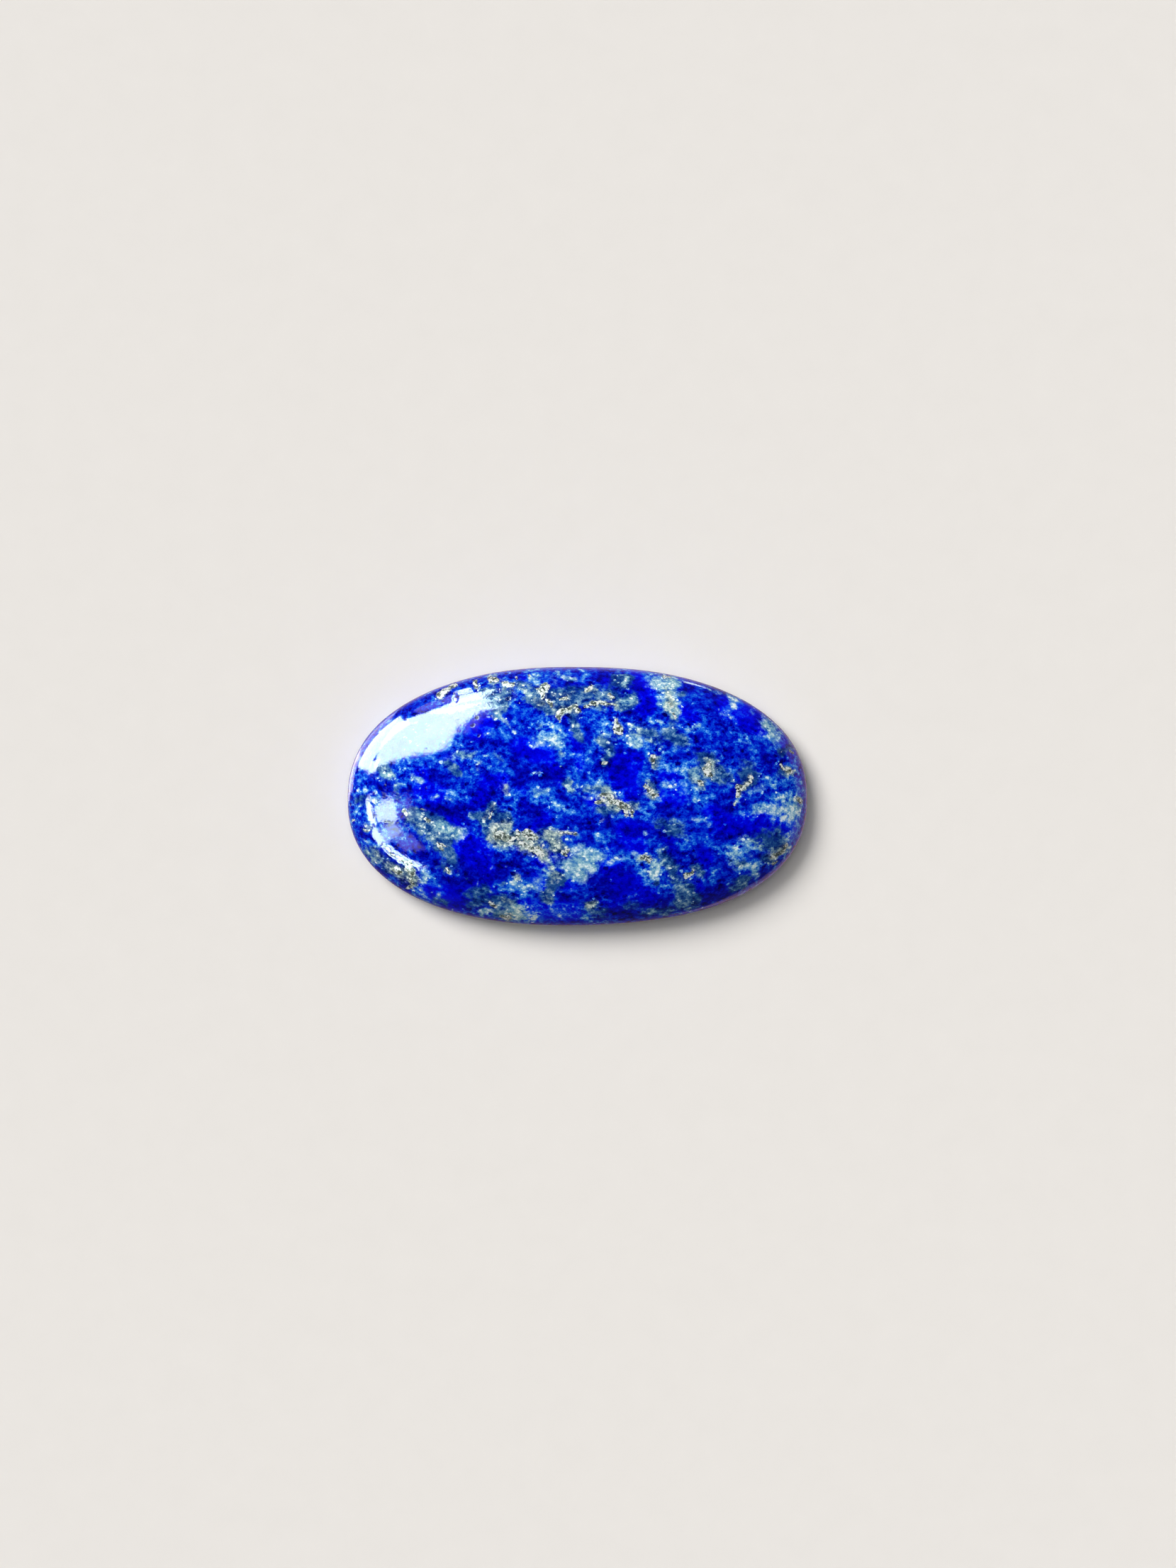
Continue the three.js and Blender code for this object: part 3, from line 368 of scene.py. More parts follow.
AZURE_MARKS = [
    # upper left
    (0.45, 0.6, -9.3, 2.35, -8.6, 2.1), (0.35, 0.5, -7.7, 1.6, -7.4, 1.4), (0.3, 0.6, -8.4, 0.4, -7.5, 0.3),
    (0.2, 0.5, -10.8, 1.8, -10.4, 1.7), (0.35, 0.6, -6.8, 1.3, -6.6, 1.1),
    (0.3, 0.6, -4.9, 1.7, -4.3, 1.65), (0.35, 0.5, -5.2, 2.7, -4.9, 2.3),
    (0.15, 0.5, -4.3, 2.75, -3.8, 2.5), (0.25, 0.5, -5.6, 4.1, -4.8, 4.1), (0.3, 0.5, -5.6, 3.7, -4.3, 3.7),
    (0.3, 0.5, -3.8, 5.4, -3.4, 5.3), (0.3, 0.4, -3.2, 5, -2.5, 4.9), (0.4, 0.55, -2.9, 7.2, -2.2, 7.3),
    (0.45, 0.35, -3.2, 3.5, -2.5, 3.6), (0.45, 0.6, -1.8, 4, -0.9, 3.7), (0.4, 0.5, -1.7, 4.6, -1.4, 4.3),
    (0.35, 0.5, -1, 2.9, -0.7, 2.4), (0.25, 0.5, -2.3, 2.3, -2.1, 2.2), (0.3, 0.5, -2.9, 0.9, -2.5, 0.8),
    (0.3, 0.5, -3.6, 0.3, -3.1, 0.4), (0.35, 0.5, -2, 0.6, -1.2, 0.5), (0.3, 0.4, -0.4, 1.5, 0.3, 1.8),
    (0.35, 0.5, -2, 3.3, -1, 3.3), (0.3, 0.4, -0.3, 1.4, -0.5, 1.3), (0.3, 0.5, -3.5, 6.6, -2.9, 5.8),
    (0.35, 0.3, -13, 0, -11.2, 0.2), (0.3, 0.5, -0.3, 1.5, 0, 0.4), (0.3, 0.5, -2.6, 7.1),
    (0.3, 0.5, -4.2, 6.6), (0.3, 0.5, -2.7, 5.8), (0.3, 0.5, -6.1, 1.6), (0.3, 0.5, -4.7, 1.5),
    (0.3, 0.5, -2.8, 0.2), (0.35, 0.6, -1.9, 2.9, -2.7, 1.9), (0.3, 0.4, -4.8, 1.7, -4.2, 1.5),
    (0.3, 0.5, -2.9, 0.7), (0.25, 0.5, -6.8, 1.25), (0.25, 0.5, -4.8, 6.7),
    (0.3, 0.4, -5.6, 3.8, -4.9, 3.9), (0.25, 0.5, -0.8, 7.5), (0.3, 0.5, -5.4, 5.3),
    (0.3, 0.5, -7.2, 3.8, -6.2, 3.9), (0.3, 0.5, -0.5, 3.8), (0.3, 0.5, -10, 0.3),
    (0.35, 0.5, -3.9, 4.7, -3.5, 4.3), (0.3, 0.6, -3.6, 3.4, -3.3, 3.1), (0.3, 0.6, -2.2, 2.9, -1.2, 3),
    (0.3, 0.5, -1.2, 6.8, -1.1, 6), (0.3, 0.5, -9.9, -0.2, -9.4, 0.3), (0.3, 0.4, -10.9, 0.8, -9.9, 0.7),
    (0.35, 0.5, -6.3, 4.1, -5.9, 4.3), (0.35, 0.5, -3.2, 3.4, -2.6, 3.1), (0.3, 0.5, -2.7, 5.1, -2.2, 4.9),
    # upper right
    (0.3, 0.5, -0.2, 4, 0.3, 3.6), (0.3, 0.5, 0.3, 7.6, 0.6, 7.3), (0.35, 0.4, 1.9, 6.8, 2.2, 6.6),
    (0.3, 0.5, 0.6, 5.2, 1.1, 5.2), (0.45, 0.55, 1.5, 4.8, 1.6, 3.5), (0.4, 0.65, 0.3, 2.5, 0.6, 2.2),
    (0.3, 0.4, 0.2, 1.5, 0.85, 1.6), (0.35, 0.5, 0.5, 0.8, 1.6, 1.1), (0.2, 0.5, 2.9, 3.4, 3.3, 3.1),
    (0.3, 0.5, 3.6, 1.7, 3.8, 1.5), (0.3, 0.5, 4.2, 2.9, 4.7, 3), (0.3, 0.5, 4.3, 1.9, 4.2, 1.2),
    (0.4, 0.5, 5.2, 4.3, 5.8, 4), (0.3, 0.45, 4.9, 5.9, 5.2, 5.3), (0.3, 0.5, 5.4, 2.2, 5.6, 1.8),
    (0.35, 0.6, 5.6, 1.6, 6.6, 1.5), (0.35, 0.55, 5.5, 0.8, 6.5, 0.7), (0.35, 0.5, 7.4, 4.5, 8.3, 3.9),
    (0.25, 0.5, 7.4, 6.1, 7.6, 6.1), (0.4, 0.5, 9.3, 5.5, 9.9, 5.3), (0.5, 0.35, 9, 3.3, 9.8, 3.2),
    (0.4, 0.45, 10.3, 3.6, 10.9, 3.2), (0.35, 0.4, 10.9, 2.6, 11.2, 2.2), (0.35, 0.35, 12, 3.2, 12.5, 3),
    (0.3, 0.4, 9.4, 1.6, 9.8, 1.3), (0.3, 0.5, 8.7, 0.1, 8.4, 0.3), (0.4, 0.35, 12.6, 0.7, 13.1, 0.5),
    (0.3, 0.4, 11.6, 0.9, 12, 0.7), (0.35, 0.5, -0.1, 3.9, 1.2, 3.5), (0.3, 0.5, 0.5, 4.8, 0.9, 4.8),
    (0.4, 0.5, 5.8, 0.2, 7.2, 0.5), (0.3, 0.5, 6.9, 1.7, 7.3, 1.6), (0.35, 0.5, 6.8, 6, 8, 5.8),
    (0.3, 0.5, 11.6, 1.2, 12, 0.7), (0.35, 0.5, 0.3, 0.1, 2.4, 0.1), (0.35, 0.6, 0.5, 2.7, 0.8, 2.5),
    (0.35, 0.5, 2, 3.8, 3.4, 3.9), (0.35, 0.5, 6.1, 6, 6.5, 5.9), (0.35, 0.5, 4.9, 0.4, 5.2, 0.5),
    (0.3, 0.5, 6.3, 3), (0.35, 0.5, 7.6, 1.1, 8.1, 1), (0.35, 0.5, 13.2, 1, 13.4, 0.6),
    (0.3, 0.4, 11.8, 2.3), (0.3, 0.5, 1.2, 3), (0.3, 0.5, 1.9, 5.2), (0.35, 0.5, 7.2, 5.6),
    (0.4, 0.6, 3.8, 0.4, 5.2, 0), (0.3, 0.5, 6.9, 0.8, 7.3, -0.1), (0.3, 0.5, 6, 2.8),
    (0.3, 0.5, 10.6, 0.1, 11.6, 0.8), (0.35, 0.6, 5.5, 0.2, 7, 0.2), (0.3, 0.6, 6, 1.4),
    (0.3, 0.5, 10.3, 0.1), (0.3, 0.5, 4.9, 4.3), (0.35, 0.5, 1.6, 4.3, 1.5, 3.4),
    (0.15, 0.6, 0.6, 2.6, 1.05, 3.2), (0.5, 0.35, 4, 4, 6, 4), (0.35, 0.6, 9.7, 5.9, 9.9, 5.3),
    (0.35, 0.5, 11.2, 3.7, 12, 3.7), (0.35, 0.5, 0.5, 7.6), (0.3, 0.5, 3, 7.5, 4.2, 7.4),
    (0.35, 0.5, 6.8, 6.2), (0.3, 0.3, 5, 5.2, 8.5, 5.2), (0.3, 0.5, 4.2, 2.6), (0.3, 0.5, 3.5, 0.6),
    (0.3, 0.5, 5.3, 0.1, 6.9, 0), (0.35, 0.6, 10, 5.5, 10.5, 5.1), (0.3, 0.5, 6.7, 6.1, 7.6, 6.6),
    (0.3, 0.5, 3.9, 1, 4, 0.5), (0.3, 0.4, 9.2, 5.5, 9.5, 5.4), (0.3, 0.5, 4.6, 6.5, 4.9, 6.3),
    (0.35, 0.4, 8, 0.7, 8.6, 0.8),
    # lower left
    (0.3, 0.45, -0.1, -1.5, -0.1, -2.6), (0.2, 0.7, -1.6, -6.9, 0, -6.75),
    (0.3, 0.5, -1.3, -7.3, -0.8, -7.4), (0.3, 0.45, -3.5, -6.2, -3, -6.3),
    (0.3, 0.45, -2.6, -5.3, -1.9, -5.2), (0.35, 0.5, -4.6, -5.3, -3.9, -5.6),
    (0.3, 0.5, -3.4, -5.7, -2.4, -5.6), (0.3, 0.4, -2.2, -6.8, -2.6, -6.9),
    (0.35, 0.55, -1.7, 0.1, -1, -0.7), (0.3, 0.5, -0.9, -0.8, 0, -1.1), (0.4, 0.35, -3.3, -1.3, -2.9, -1.6),
    (0.35, 0.4, -4.6, -0.6, -3.9, -0.8), (0.3, 0.45, -6.7, -2, -6, -1.9),
    (0.2, 0.5, -5.9, -2.2, -5.6, -2.5), (0.35, 0.35, -3.3, -3.4, -2.9, -4.3),
    (0.35, 0.35, -6.9, -0.1, -7.4, 0), (0.35, 0.4, -9.4, -2.7, -8.7, -2.5),
    (0.5, 0.35, -8.4, -3.6, -7.8, -3.5), (0.45, 0.4, -9.3, -4.8, -8.9, -5),
    (0.25, 0.5, -8.4, -5.6, -8.3, -6.4), (0.3, 0.4, -9.7, -5.6, -9.6, -6.1),
    (0.3, 0.4, -13.7, -0.4, -13.3, -1.5), (0.3, 0.5, -10.9, -0.3), (0.3, 0.5, -9.9, -2, -9.9, -2.8),
    (0.25, 0.5, -2.6, -4.7, -2.3, -5), (0.3, 0.5, -8.6, -0.1), (0.35, 0.5, -7.7, -3.3, -7.5, -3.5),
    (0.3, 0.5, -8.7, -3.1), (0.35, 0.5, -8.8, -5.3, -9.2, -5), (0.35, 0.5, -3.9, -5, -3.8, -5.9),
    (0.35, 0.5, -1.2, -1.3), (0.3, 0.5, -2.3, 0, -2, -0.1), (0.3, 0.5, -10.9, -0.6), (0.3, 0.5, -9.9, -0.1),
    (0.35, 0.5, -7.6, -3.3, -8.7, -3.4), (0.3, 0.5, -8.3, -4.6), (0.3, 0.5, -4.1, -4.9),
    (0.3, 0.5, -6.5, -6), (0.3, 0.5, -0.3, -5.8), (0.3, 0.5, -10.7, -0.4),
    (0.3, 0.5, -7.2, -2.4, -7.5, -3.4), (0.3, 0.6, -4.7, -2.3, -3.7, -2),
    (0.35, 0.5, -9.2, -4.9, -8.4, -5.6), (0.3, 0.5, -2.7, -7.3), (0.25, 0.5, -12.9, -3.4),
    (0.25, 0.5, -12.7, -2.1), (0.22, 0.6, -9.3, -4.5, -8.9, -5.2, -8.6, -5.7, -8.5, -6.2),
    (0.22, 0.6, -9.9, -6, -9.4, -6.4, -8.8, -6.5), (0.2, 0.5, -5.25, -4.45), (0.2, 0.5, -5.2, -4),
    (0.3, 0.5, -4.9, -5.4, -4, -5.8), (0.2, 0.6, -1.3, -7.2, -0.6, -7.4), (0.3, 0.5, -9.6, -2.5),
    (0.3, 0.5, -7.8, -4.7), (0.3, 0.5, -4.2, -3.6), (0.3, 0.5, -5.8, -3), (0.3, 0.4, -5, -7.2, -3.2, -7.2),
    (0.3, 0.4, -9, -5.6, -7.8, -6.4), (0.35, 0.4, -12.8, -2.8, -12.3, -3.6),
    (0.3, 0.6, -2.7, -0.3, -2, -0.2), (0.3, 0.6, -1.6, -1, -1.2, -1.4), (0.35, 0.6, -2.4, -5.4, -1.6, -5.9),
    (0.3, 0.5, -0.3, -5.1, -0.3, -5.8), (0.3, 0.5, -3.2, -5.2, -3.3, -6),
    (0.35, 0.4, -2.4, -7.2, -1.2, -7.2), (0.25, 0.6, -2.4, -7.15, -1.8, -7.2),
    (0.18, 0.6, -9, -4.9, -8.6, -5.3, -8.4, -6, -8.5, -6.5), (0.25, 0.4, -2.8, -7.4, -0.3, -7.3),
    (0.4, 0.3, -1.6, -1.2, -1.2, -2.2, -0.3, -2.6), (0.3, 0.4, -4.8, -2.6, -3.6, -2.1),
    # lower right
    (0.4, 0.5, 11.8, -0.4, 12.6, 0), (0.3, 0.5, 12.4, -1.4, 12.9, -1.4),
    (0.35, 0.45, 9.7, -1.2, 10.4, -1.3), (0.25, 0.45, 7.4, -0.6, 8.2, -0.5), (0.3, 0.4, 7.3, -1.7, 8, -1.8),
    (0.3, 0.45, 7.5, -2.5, 8.6, -2.7), (0.35, 0.45, 8.2, -3, 8.8, -3.3), (0.4, 0.5, 9.4, -3, 10.5, -3.6),
    (0.25, 0.45, 8.2, -3.7, 8.7, -4.3), (0.3, 0.4, 8.3, -4.8, 8.9, -4.6), (0.4, 0.35, 11.8, -2, 12.4, -1.8),
    (0.3, 0.5, 13.2, -2, 13, -2.7), (0.4, 0.5, 4.2, -0.6, 4.4, -1.6), (0.35, 0.4, 6.3, -0.6, 6.8, -0.8),
    (0.3, 0.5, 6.3, -1.7, 6.6, -1.8), (0.35, 0.5, 6.5, -3.1, 7, -2.8), (0.15, 0.6, 3.3, -2.95, 4.6, -2.7),
    (0.25, 0.4, 2.2, -2.3, 3, -2.5), (0.3, 0.5, 1.2, -2.5, 1.8, -2.5), (0.25, 0.5, 1.7, -3.5, 2, -4.1),
    (0.35, 0.5, 2.3, -4, 3.2, -3.9), (0.35, 0.5, 3.9, -4.8, 4.2, -5.3), (0.3, 0.4, 4.7, -3.3, 4.9, -3),
    (0.35, 0.5, 0.1, -0.8, 0.5, -0.6), (0.35, 0.4, 1.1, -1.1, 1.4, -1.5), (0.25, 0.4, 1.6, -6.5, 1.9, -6.5),
    (0.3, 0.4, 2.9, -6.2, 3.2, -6), (0.3, 0.35, 0, -6.8, 0.4, -7.1), (0.3, 0.4, 0.1, -5.8, 0.5, -5.9),
    (0.3, 0.5, 1.9, -3.2, 3.3, -3.8), (0.4, 0.6, 5.2, -5.6, 5.9, -5.6), (0.3, 0.4, 8, -1.2, 8.2, -1.3),
    (0.35, 0.5, 10.2, -4.4, 10.9, -4.6), (0.35, 0.5, 3.2, -1.3, 3.5, -1.4), (0.3, 0.5, 3.6, -3.2),
    (0.3, 0.5, 1.3, -2.3), (0.3, 0.5, 5.3, -5.7, 5.6, -5.8), (0.35, 0.5, 2.3, -0.9, 3.1, -1.4),
    (0.3, 0.5, 9.3, -5.2), (0.3, 0.5, 7.5, -5.1), (0.3, 0.5, 4, -6.4), (0.3, 0.5, 0.7, -6.6),
    (0.3, 0.5, 1.7, -2.6), (0.3, 0.5, 3.3, -2.9, 4.3, -4), (0.3, 0.5, 3.7, -5.3), (0.3, 0.5, 8.2, -0.7),
    (0.35, 0.5, 12.3, -1.3, 13.4, -1.6), (0.2, 0.5, 8, -2.3), (0.2, 0.5, 7.7, -2.8),
    (0.15, 0.6, 3.2, -3, 3.7, -2.85, 4.3, -2.95), (0.25, 0.5, 6.7, -2.8), (0.25, 0.5, 3.6, -4.5, 4.2, -5.3),
    (0.4, 0.5, 8, -1.2), (0.4, 0.5, 9.9, -1.2, 10.6, -1.2), (0.25, 0.5, 10.1, 0), (0.35, 0.5, 10.5, -3.2),
    (0.3, 0.5, 3.4, -3.7), (0.3, 0.5, 7.6, -5.2, 8.6, -5.2), (0.3, 0.5, 2.5, -0.2, 3, -0.6),
    (0.35, 0.5, -1, -3.1, 1.2, -3.2), (0.3, 0.5, 2.1, -3.8, 2.8, -4), (0.35, 0.5, 12.7, -1.6, 13.3, -1.8),
    (0.25, 0.5, 0.8, 0, 1, -0.2), (0.45, 0.6, 11.2, -0.5, 13.3, -0.6),
]

SLATE_MARKS = [
    # upper left
    (0.25, 0.7, -12.2, 1.7, -11.8, 1.4), (0.3, 0.6, -7.2, 2.7, -6.6, 2.6),
    (0.25, 0.5, -7.6, 1.6, -7.3, 1.4), (0.3, 0.5, -5, 2.6, -4.8, 2.2), (0.45, 0.7, -5.6, 6.3, -5, 5.8),
    (0.35, 0.6, -4.9, 5.4, -4.5, 6.2), (0.4, 0.7, -3.5, 6.9, -3, 6.6), (0.3, 0.7, -2.9, 6.2, -2.5, 5.8),
    (0.35, 0.9, -2.3, 6, -1.8, 5.4), (0.4, 0.9, -1.7, 6.3, -1.2, 5.7), (0.4, 0.8, -1, 5.9, -0.3, 6),
    (0.35, 0.6, -0.3, 6.5, -0.1, 6.2), (0.3, 0.6, -0.15, 5, -0.15, 4.5), (0.3, 0.5, -2.2, 4.3),
    (0.25, 0.5, -1, 2.6), (0.3, 0.5, -0.9, 7.6), (0.25, 0.6, -0.7, 0.9, -0.3, 0.4),
    (0.22, 0.7, -0.2, 4.5, -0.1, 3.9, 0.2, 3.5), (0.4, 0.6, -12, 1.8, -11.7, 1.3),
    (0.3, 0.6, -11.1, 0.4, -11.1, -0.1), (0.35, 0.6, -7.9, 1.9, -7.6, 1.6),
    (0.5, 0.6, -5.3, 6.5, -4.7, 5.5), (0.35, 0.6, -0.9, 6.4, -0.4, 5.9), (0.3, 0.6, -2.6, 6.2),
    (0.3, 0.6, -5.3, 5.7), (0.3, 0.5, -0.5, 0.9),
    # upper right
    (0.45, 0.7, 0.7, 6.5, 1.6, 6.3), (0.35, 0.6, 2, 6.7, 2.3, 6.4), (0.35, 0.7, 2.8, 5.7, 3.5, 6.1),
    (0.35, 0.7, 2.5, 7.3, 3.1, 7.2), (0.3, 0.5, 0.2, 5.9, 1.5, 5.5), (0.35, 0.4, 1.5, 3.6, 1.9, 3.3),
    (0.3, 0.6, 2, 2.9, 1.7, 2.1), (0.3, 0.6, 0.4, 0.4, 1.8, 0.5), (0.5, 0.6, 3.7, 4.1, 4.5, 3.9),
    (0.45, 0.6, 4.8, 3.6, 5.5, 3.8), (0.3, 0.6, 5.9, 3.7, 6.7, 3.5), (0.25, 0.8, 6.6, 6.35),
    (0.35, 0.5, 5.8, 7.2, 6.1, 6.6), (0.35, 0.5, 5.7, 5.9, 5.9, 5.4), (0.35, 0.6, 4.5, 0.7, 4.7, 0.2),
    (0.4, 0.7, 7.6, 2.5, 8.2, 2.3), (0.45, 0.9, 8, 1.8, 8.5, 1.4), (0.3, 0.6, 7.3, 1.4, 7.6, 0.9),
    (0.4, 0.6, 9, 1.4, 9.4, 1.2), (0.3, 0.5, 10.4, 2.2, 10.8, 2), (0.5, 0.7, 10.3, 1.5, 10.9, 1.2),
    (0.3, 0.6, 10.1, 0.5, 10.6, 0.6), (0.35, 0.6, 12.6, 1.5, 13, 1.5), (0.3, 0.6, 12.7, 2.7, 13.2, 3.1),
    (0.4, 0.6, 11.9, 4.4, 12.2, 3.8), (0.2, 0.5, 8, 6.75, 9.8, 6.2), (0.35, 0.8, 2.8, 5.8, 3.3, 6.1),
    (0.3, 0.5, 1.6, 3.4), (0.35, 0.6, 2.7, 7.2), (0.3, 0.5, 0, 3.8), (0.3, 0.5, 2.3, 3.8),
    (0.3, 0.6, 6.2, 3.5), (0.3, 0.5, 6, 4.3), (0.25, 0.6, 7.2, 1.5), (0.3, 0.5, 6, 3.5, 6.4, 3.2),
    (0.28, 0.6, 4.75, 2, 5, 2.2), (0.35, 0.5, 7.3, 1.3, 7.5, 0.5), (0.3, 0.5, 5.9, 5.5, 6, 5.1),
    # lower left
    (0.3, 0.6, -12.5, -0.2), (0.35, 0.7, -5.3, -0.6), (0.4, 0.7, -4.9, -1.9, -4.3, -1.9),
    (0.35, 0.6, -4.7, -2.7, -3.5, -2.8), (0.35, 0.6, -3, -2.8, -2.2, -3.4),
    (0.3, 0.7, -5.7, -1.9, -5.4, -2.2), (0.4, 0.6, -2, -2.4, -1.4, -2.6),
    (0.35, 0.7, -1.3, -2.9, -0.8, -3.3), (0.35, 0.9, -1.3, -4.9, -1, -5.1),
    (0.3, 0.7, -1.6, -5.2, -1.6, -5.8), (0.3, 0.6, -2.1, -6.2, -1.7, -6.5),
    (0.4, 0.7, -6.4, -5.9, -5.7, -5.9), (0.5, 0.8, -6.5, -6.6, -6, -6.3),
    (0.45, 0.8, -4.9, -6.5, -4.1, -6.6), (0.35, 0.7, -4.8, -7.3, -3.8, -7.3),
    (0.45, 0.65, -10.2, -1.2, -9.3, -1.3), (0.4, 0.7, -8.8, -1.6, -8.3, -2.3),
    (0.35, 0.25, -7.9, -2.2, -7.3, -2.3), (0.3, 0.7, -8.5, -2.7, -8.1, -2.9),
    (0.4, 0.6, -12.9, -3.4, -12.4, -3.8), (0.4, 0.7, -11.7, -4.3, -11, -4.8),
    (0.3, 0.8, -10.5, -4.3, -10.2, -5.4), (0.3, 0.6, -8.7, -6.4, -8.2, -6.6), (0.25, 0.6, -13.1, -2),
    (0.35, 0.9, -5.8, -1.35, -4.4, -1.25), (0.5, 0.7, -8.6, -1.8, -7.8, -2.2),
    (0.4, 0.7, -8, -3.3, -7.8, -3.8), (0.22, 0.7, -6.6, -1.15, -5.8, -1.15), (0.4, 0.7, -13.4, -0.2),
    (0.25, 0.7, -4.5, -5.3), (0.4, 0.5, -9.6, -1.7, -8.6, -2.2), (0.3, 0.5, -9, -3.3, -8.3, -3.4),
    (0.35, 0.5, -10.2, -1.1, -9.7, -1.3), (0.4, 0.5, -9.6, -2.2, -8.6, -3),
    (0.35, 0.4, -4.6, -2.5, -4.1, -2.8), (0.4, 0.4, -8.4, -4.3, -7.6, -4.6),
    # lower right
    (0.5, 0.7, 11.7, -2.4, 12.4, -2.2), (0.35, 0.9, 12, -2.9, 12.6, -3), (0.3, 0.6, 10.7, -2.7, 11.4, -3.1),
    (0.25, 0.9, 10, -4.1, 10.3, -4.1), (0.35, 0.7, 9.9, -5.3, 10.4, -5.1),
    (0.3, 0.6, 9.7, -5.7, 10.3, -5.6), (0.35, 0.6, 7.3, -4.4, 7.6, -4.7), (0.3, 0.6, 11.4, -3.9, 12, -3.9),
    (0.3, 0.5, 13.5, -0.2, 13.7, -0.8), (0.5, 0.7, 5.2, -1.8, 6.1, -1.9), (0.4, 0.6, 6.2, -2.2, 6.6, -2.4),
    (0.4, 0.5, 5.3, -3.4, 5.6, -3.9), (0.35, 0.6, 5.5, -4.2, 6.1, -4.5), (0.3, 0.6, 5.8, -4.9, 6.3, -5.2),
    (0.2, 1, 4.85, -5.35), (0.45, 0.9, 6.4, -6.5, 7.2, -6.4), (0.4, 0.7, 6.5, -6, 7, -5.7),
    (0.35, 0.6, 3.2, -6.8, 3.7, -6.8), (0.4, 0.6, 1.1, -7.2, 1.6, -7.3), (0.3, 0.7, 0.9, -6.7),
    (0.35, 0.6, 1.4, -0.75, 2.3, -0.9), (0.3, 0.5, 3, -0.7, 3.6, -0.6), (0.35, 0.4, 0.2, -4.6, 0.2, -3.6),
    (0.35, 0.6, 4.3, -7.2, 5.6, -7.15), (0.3, 0.5, 5.5, -4), (0.3, 0.6, 6.4, -5.6, 7.2, -6.3),
]

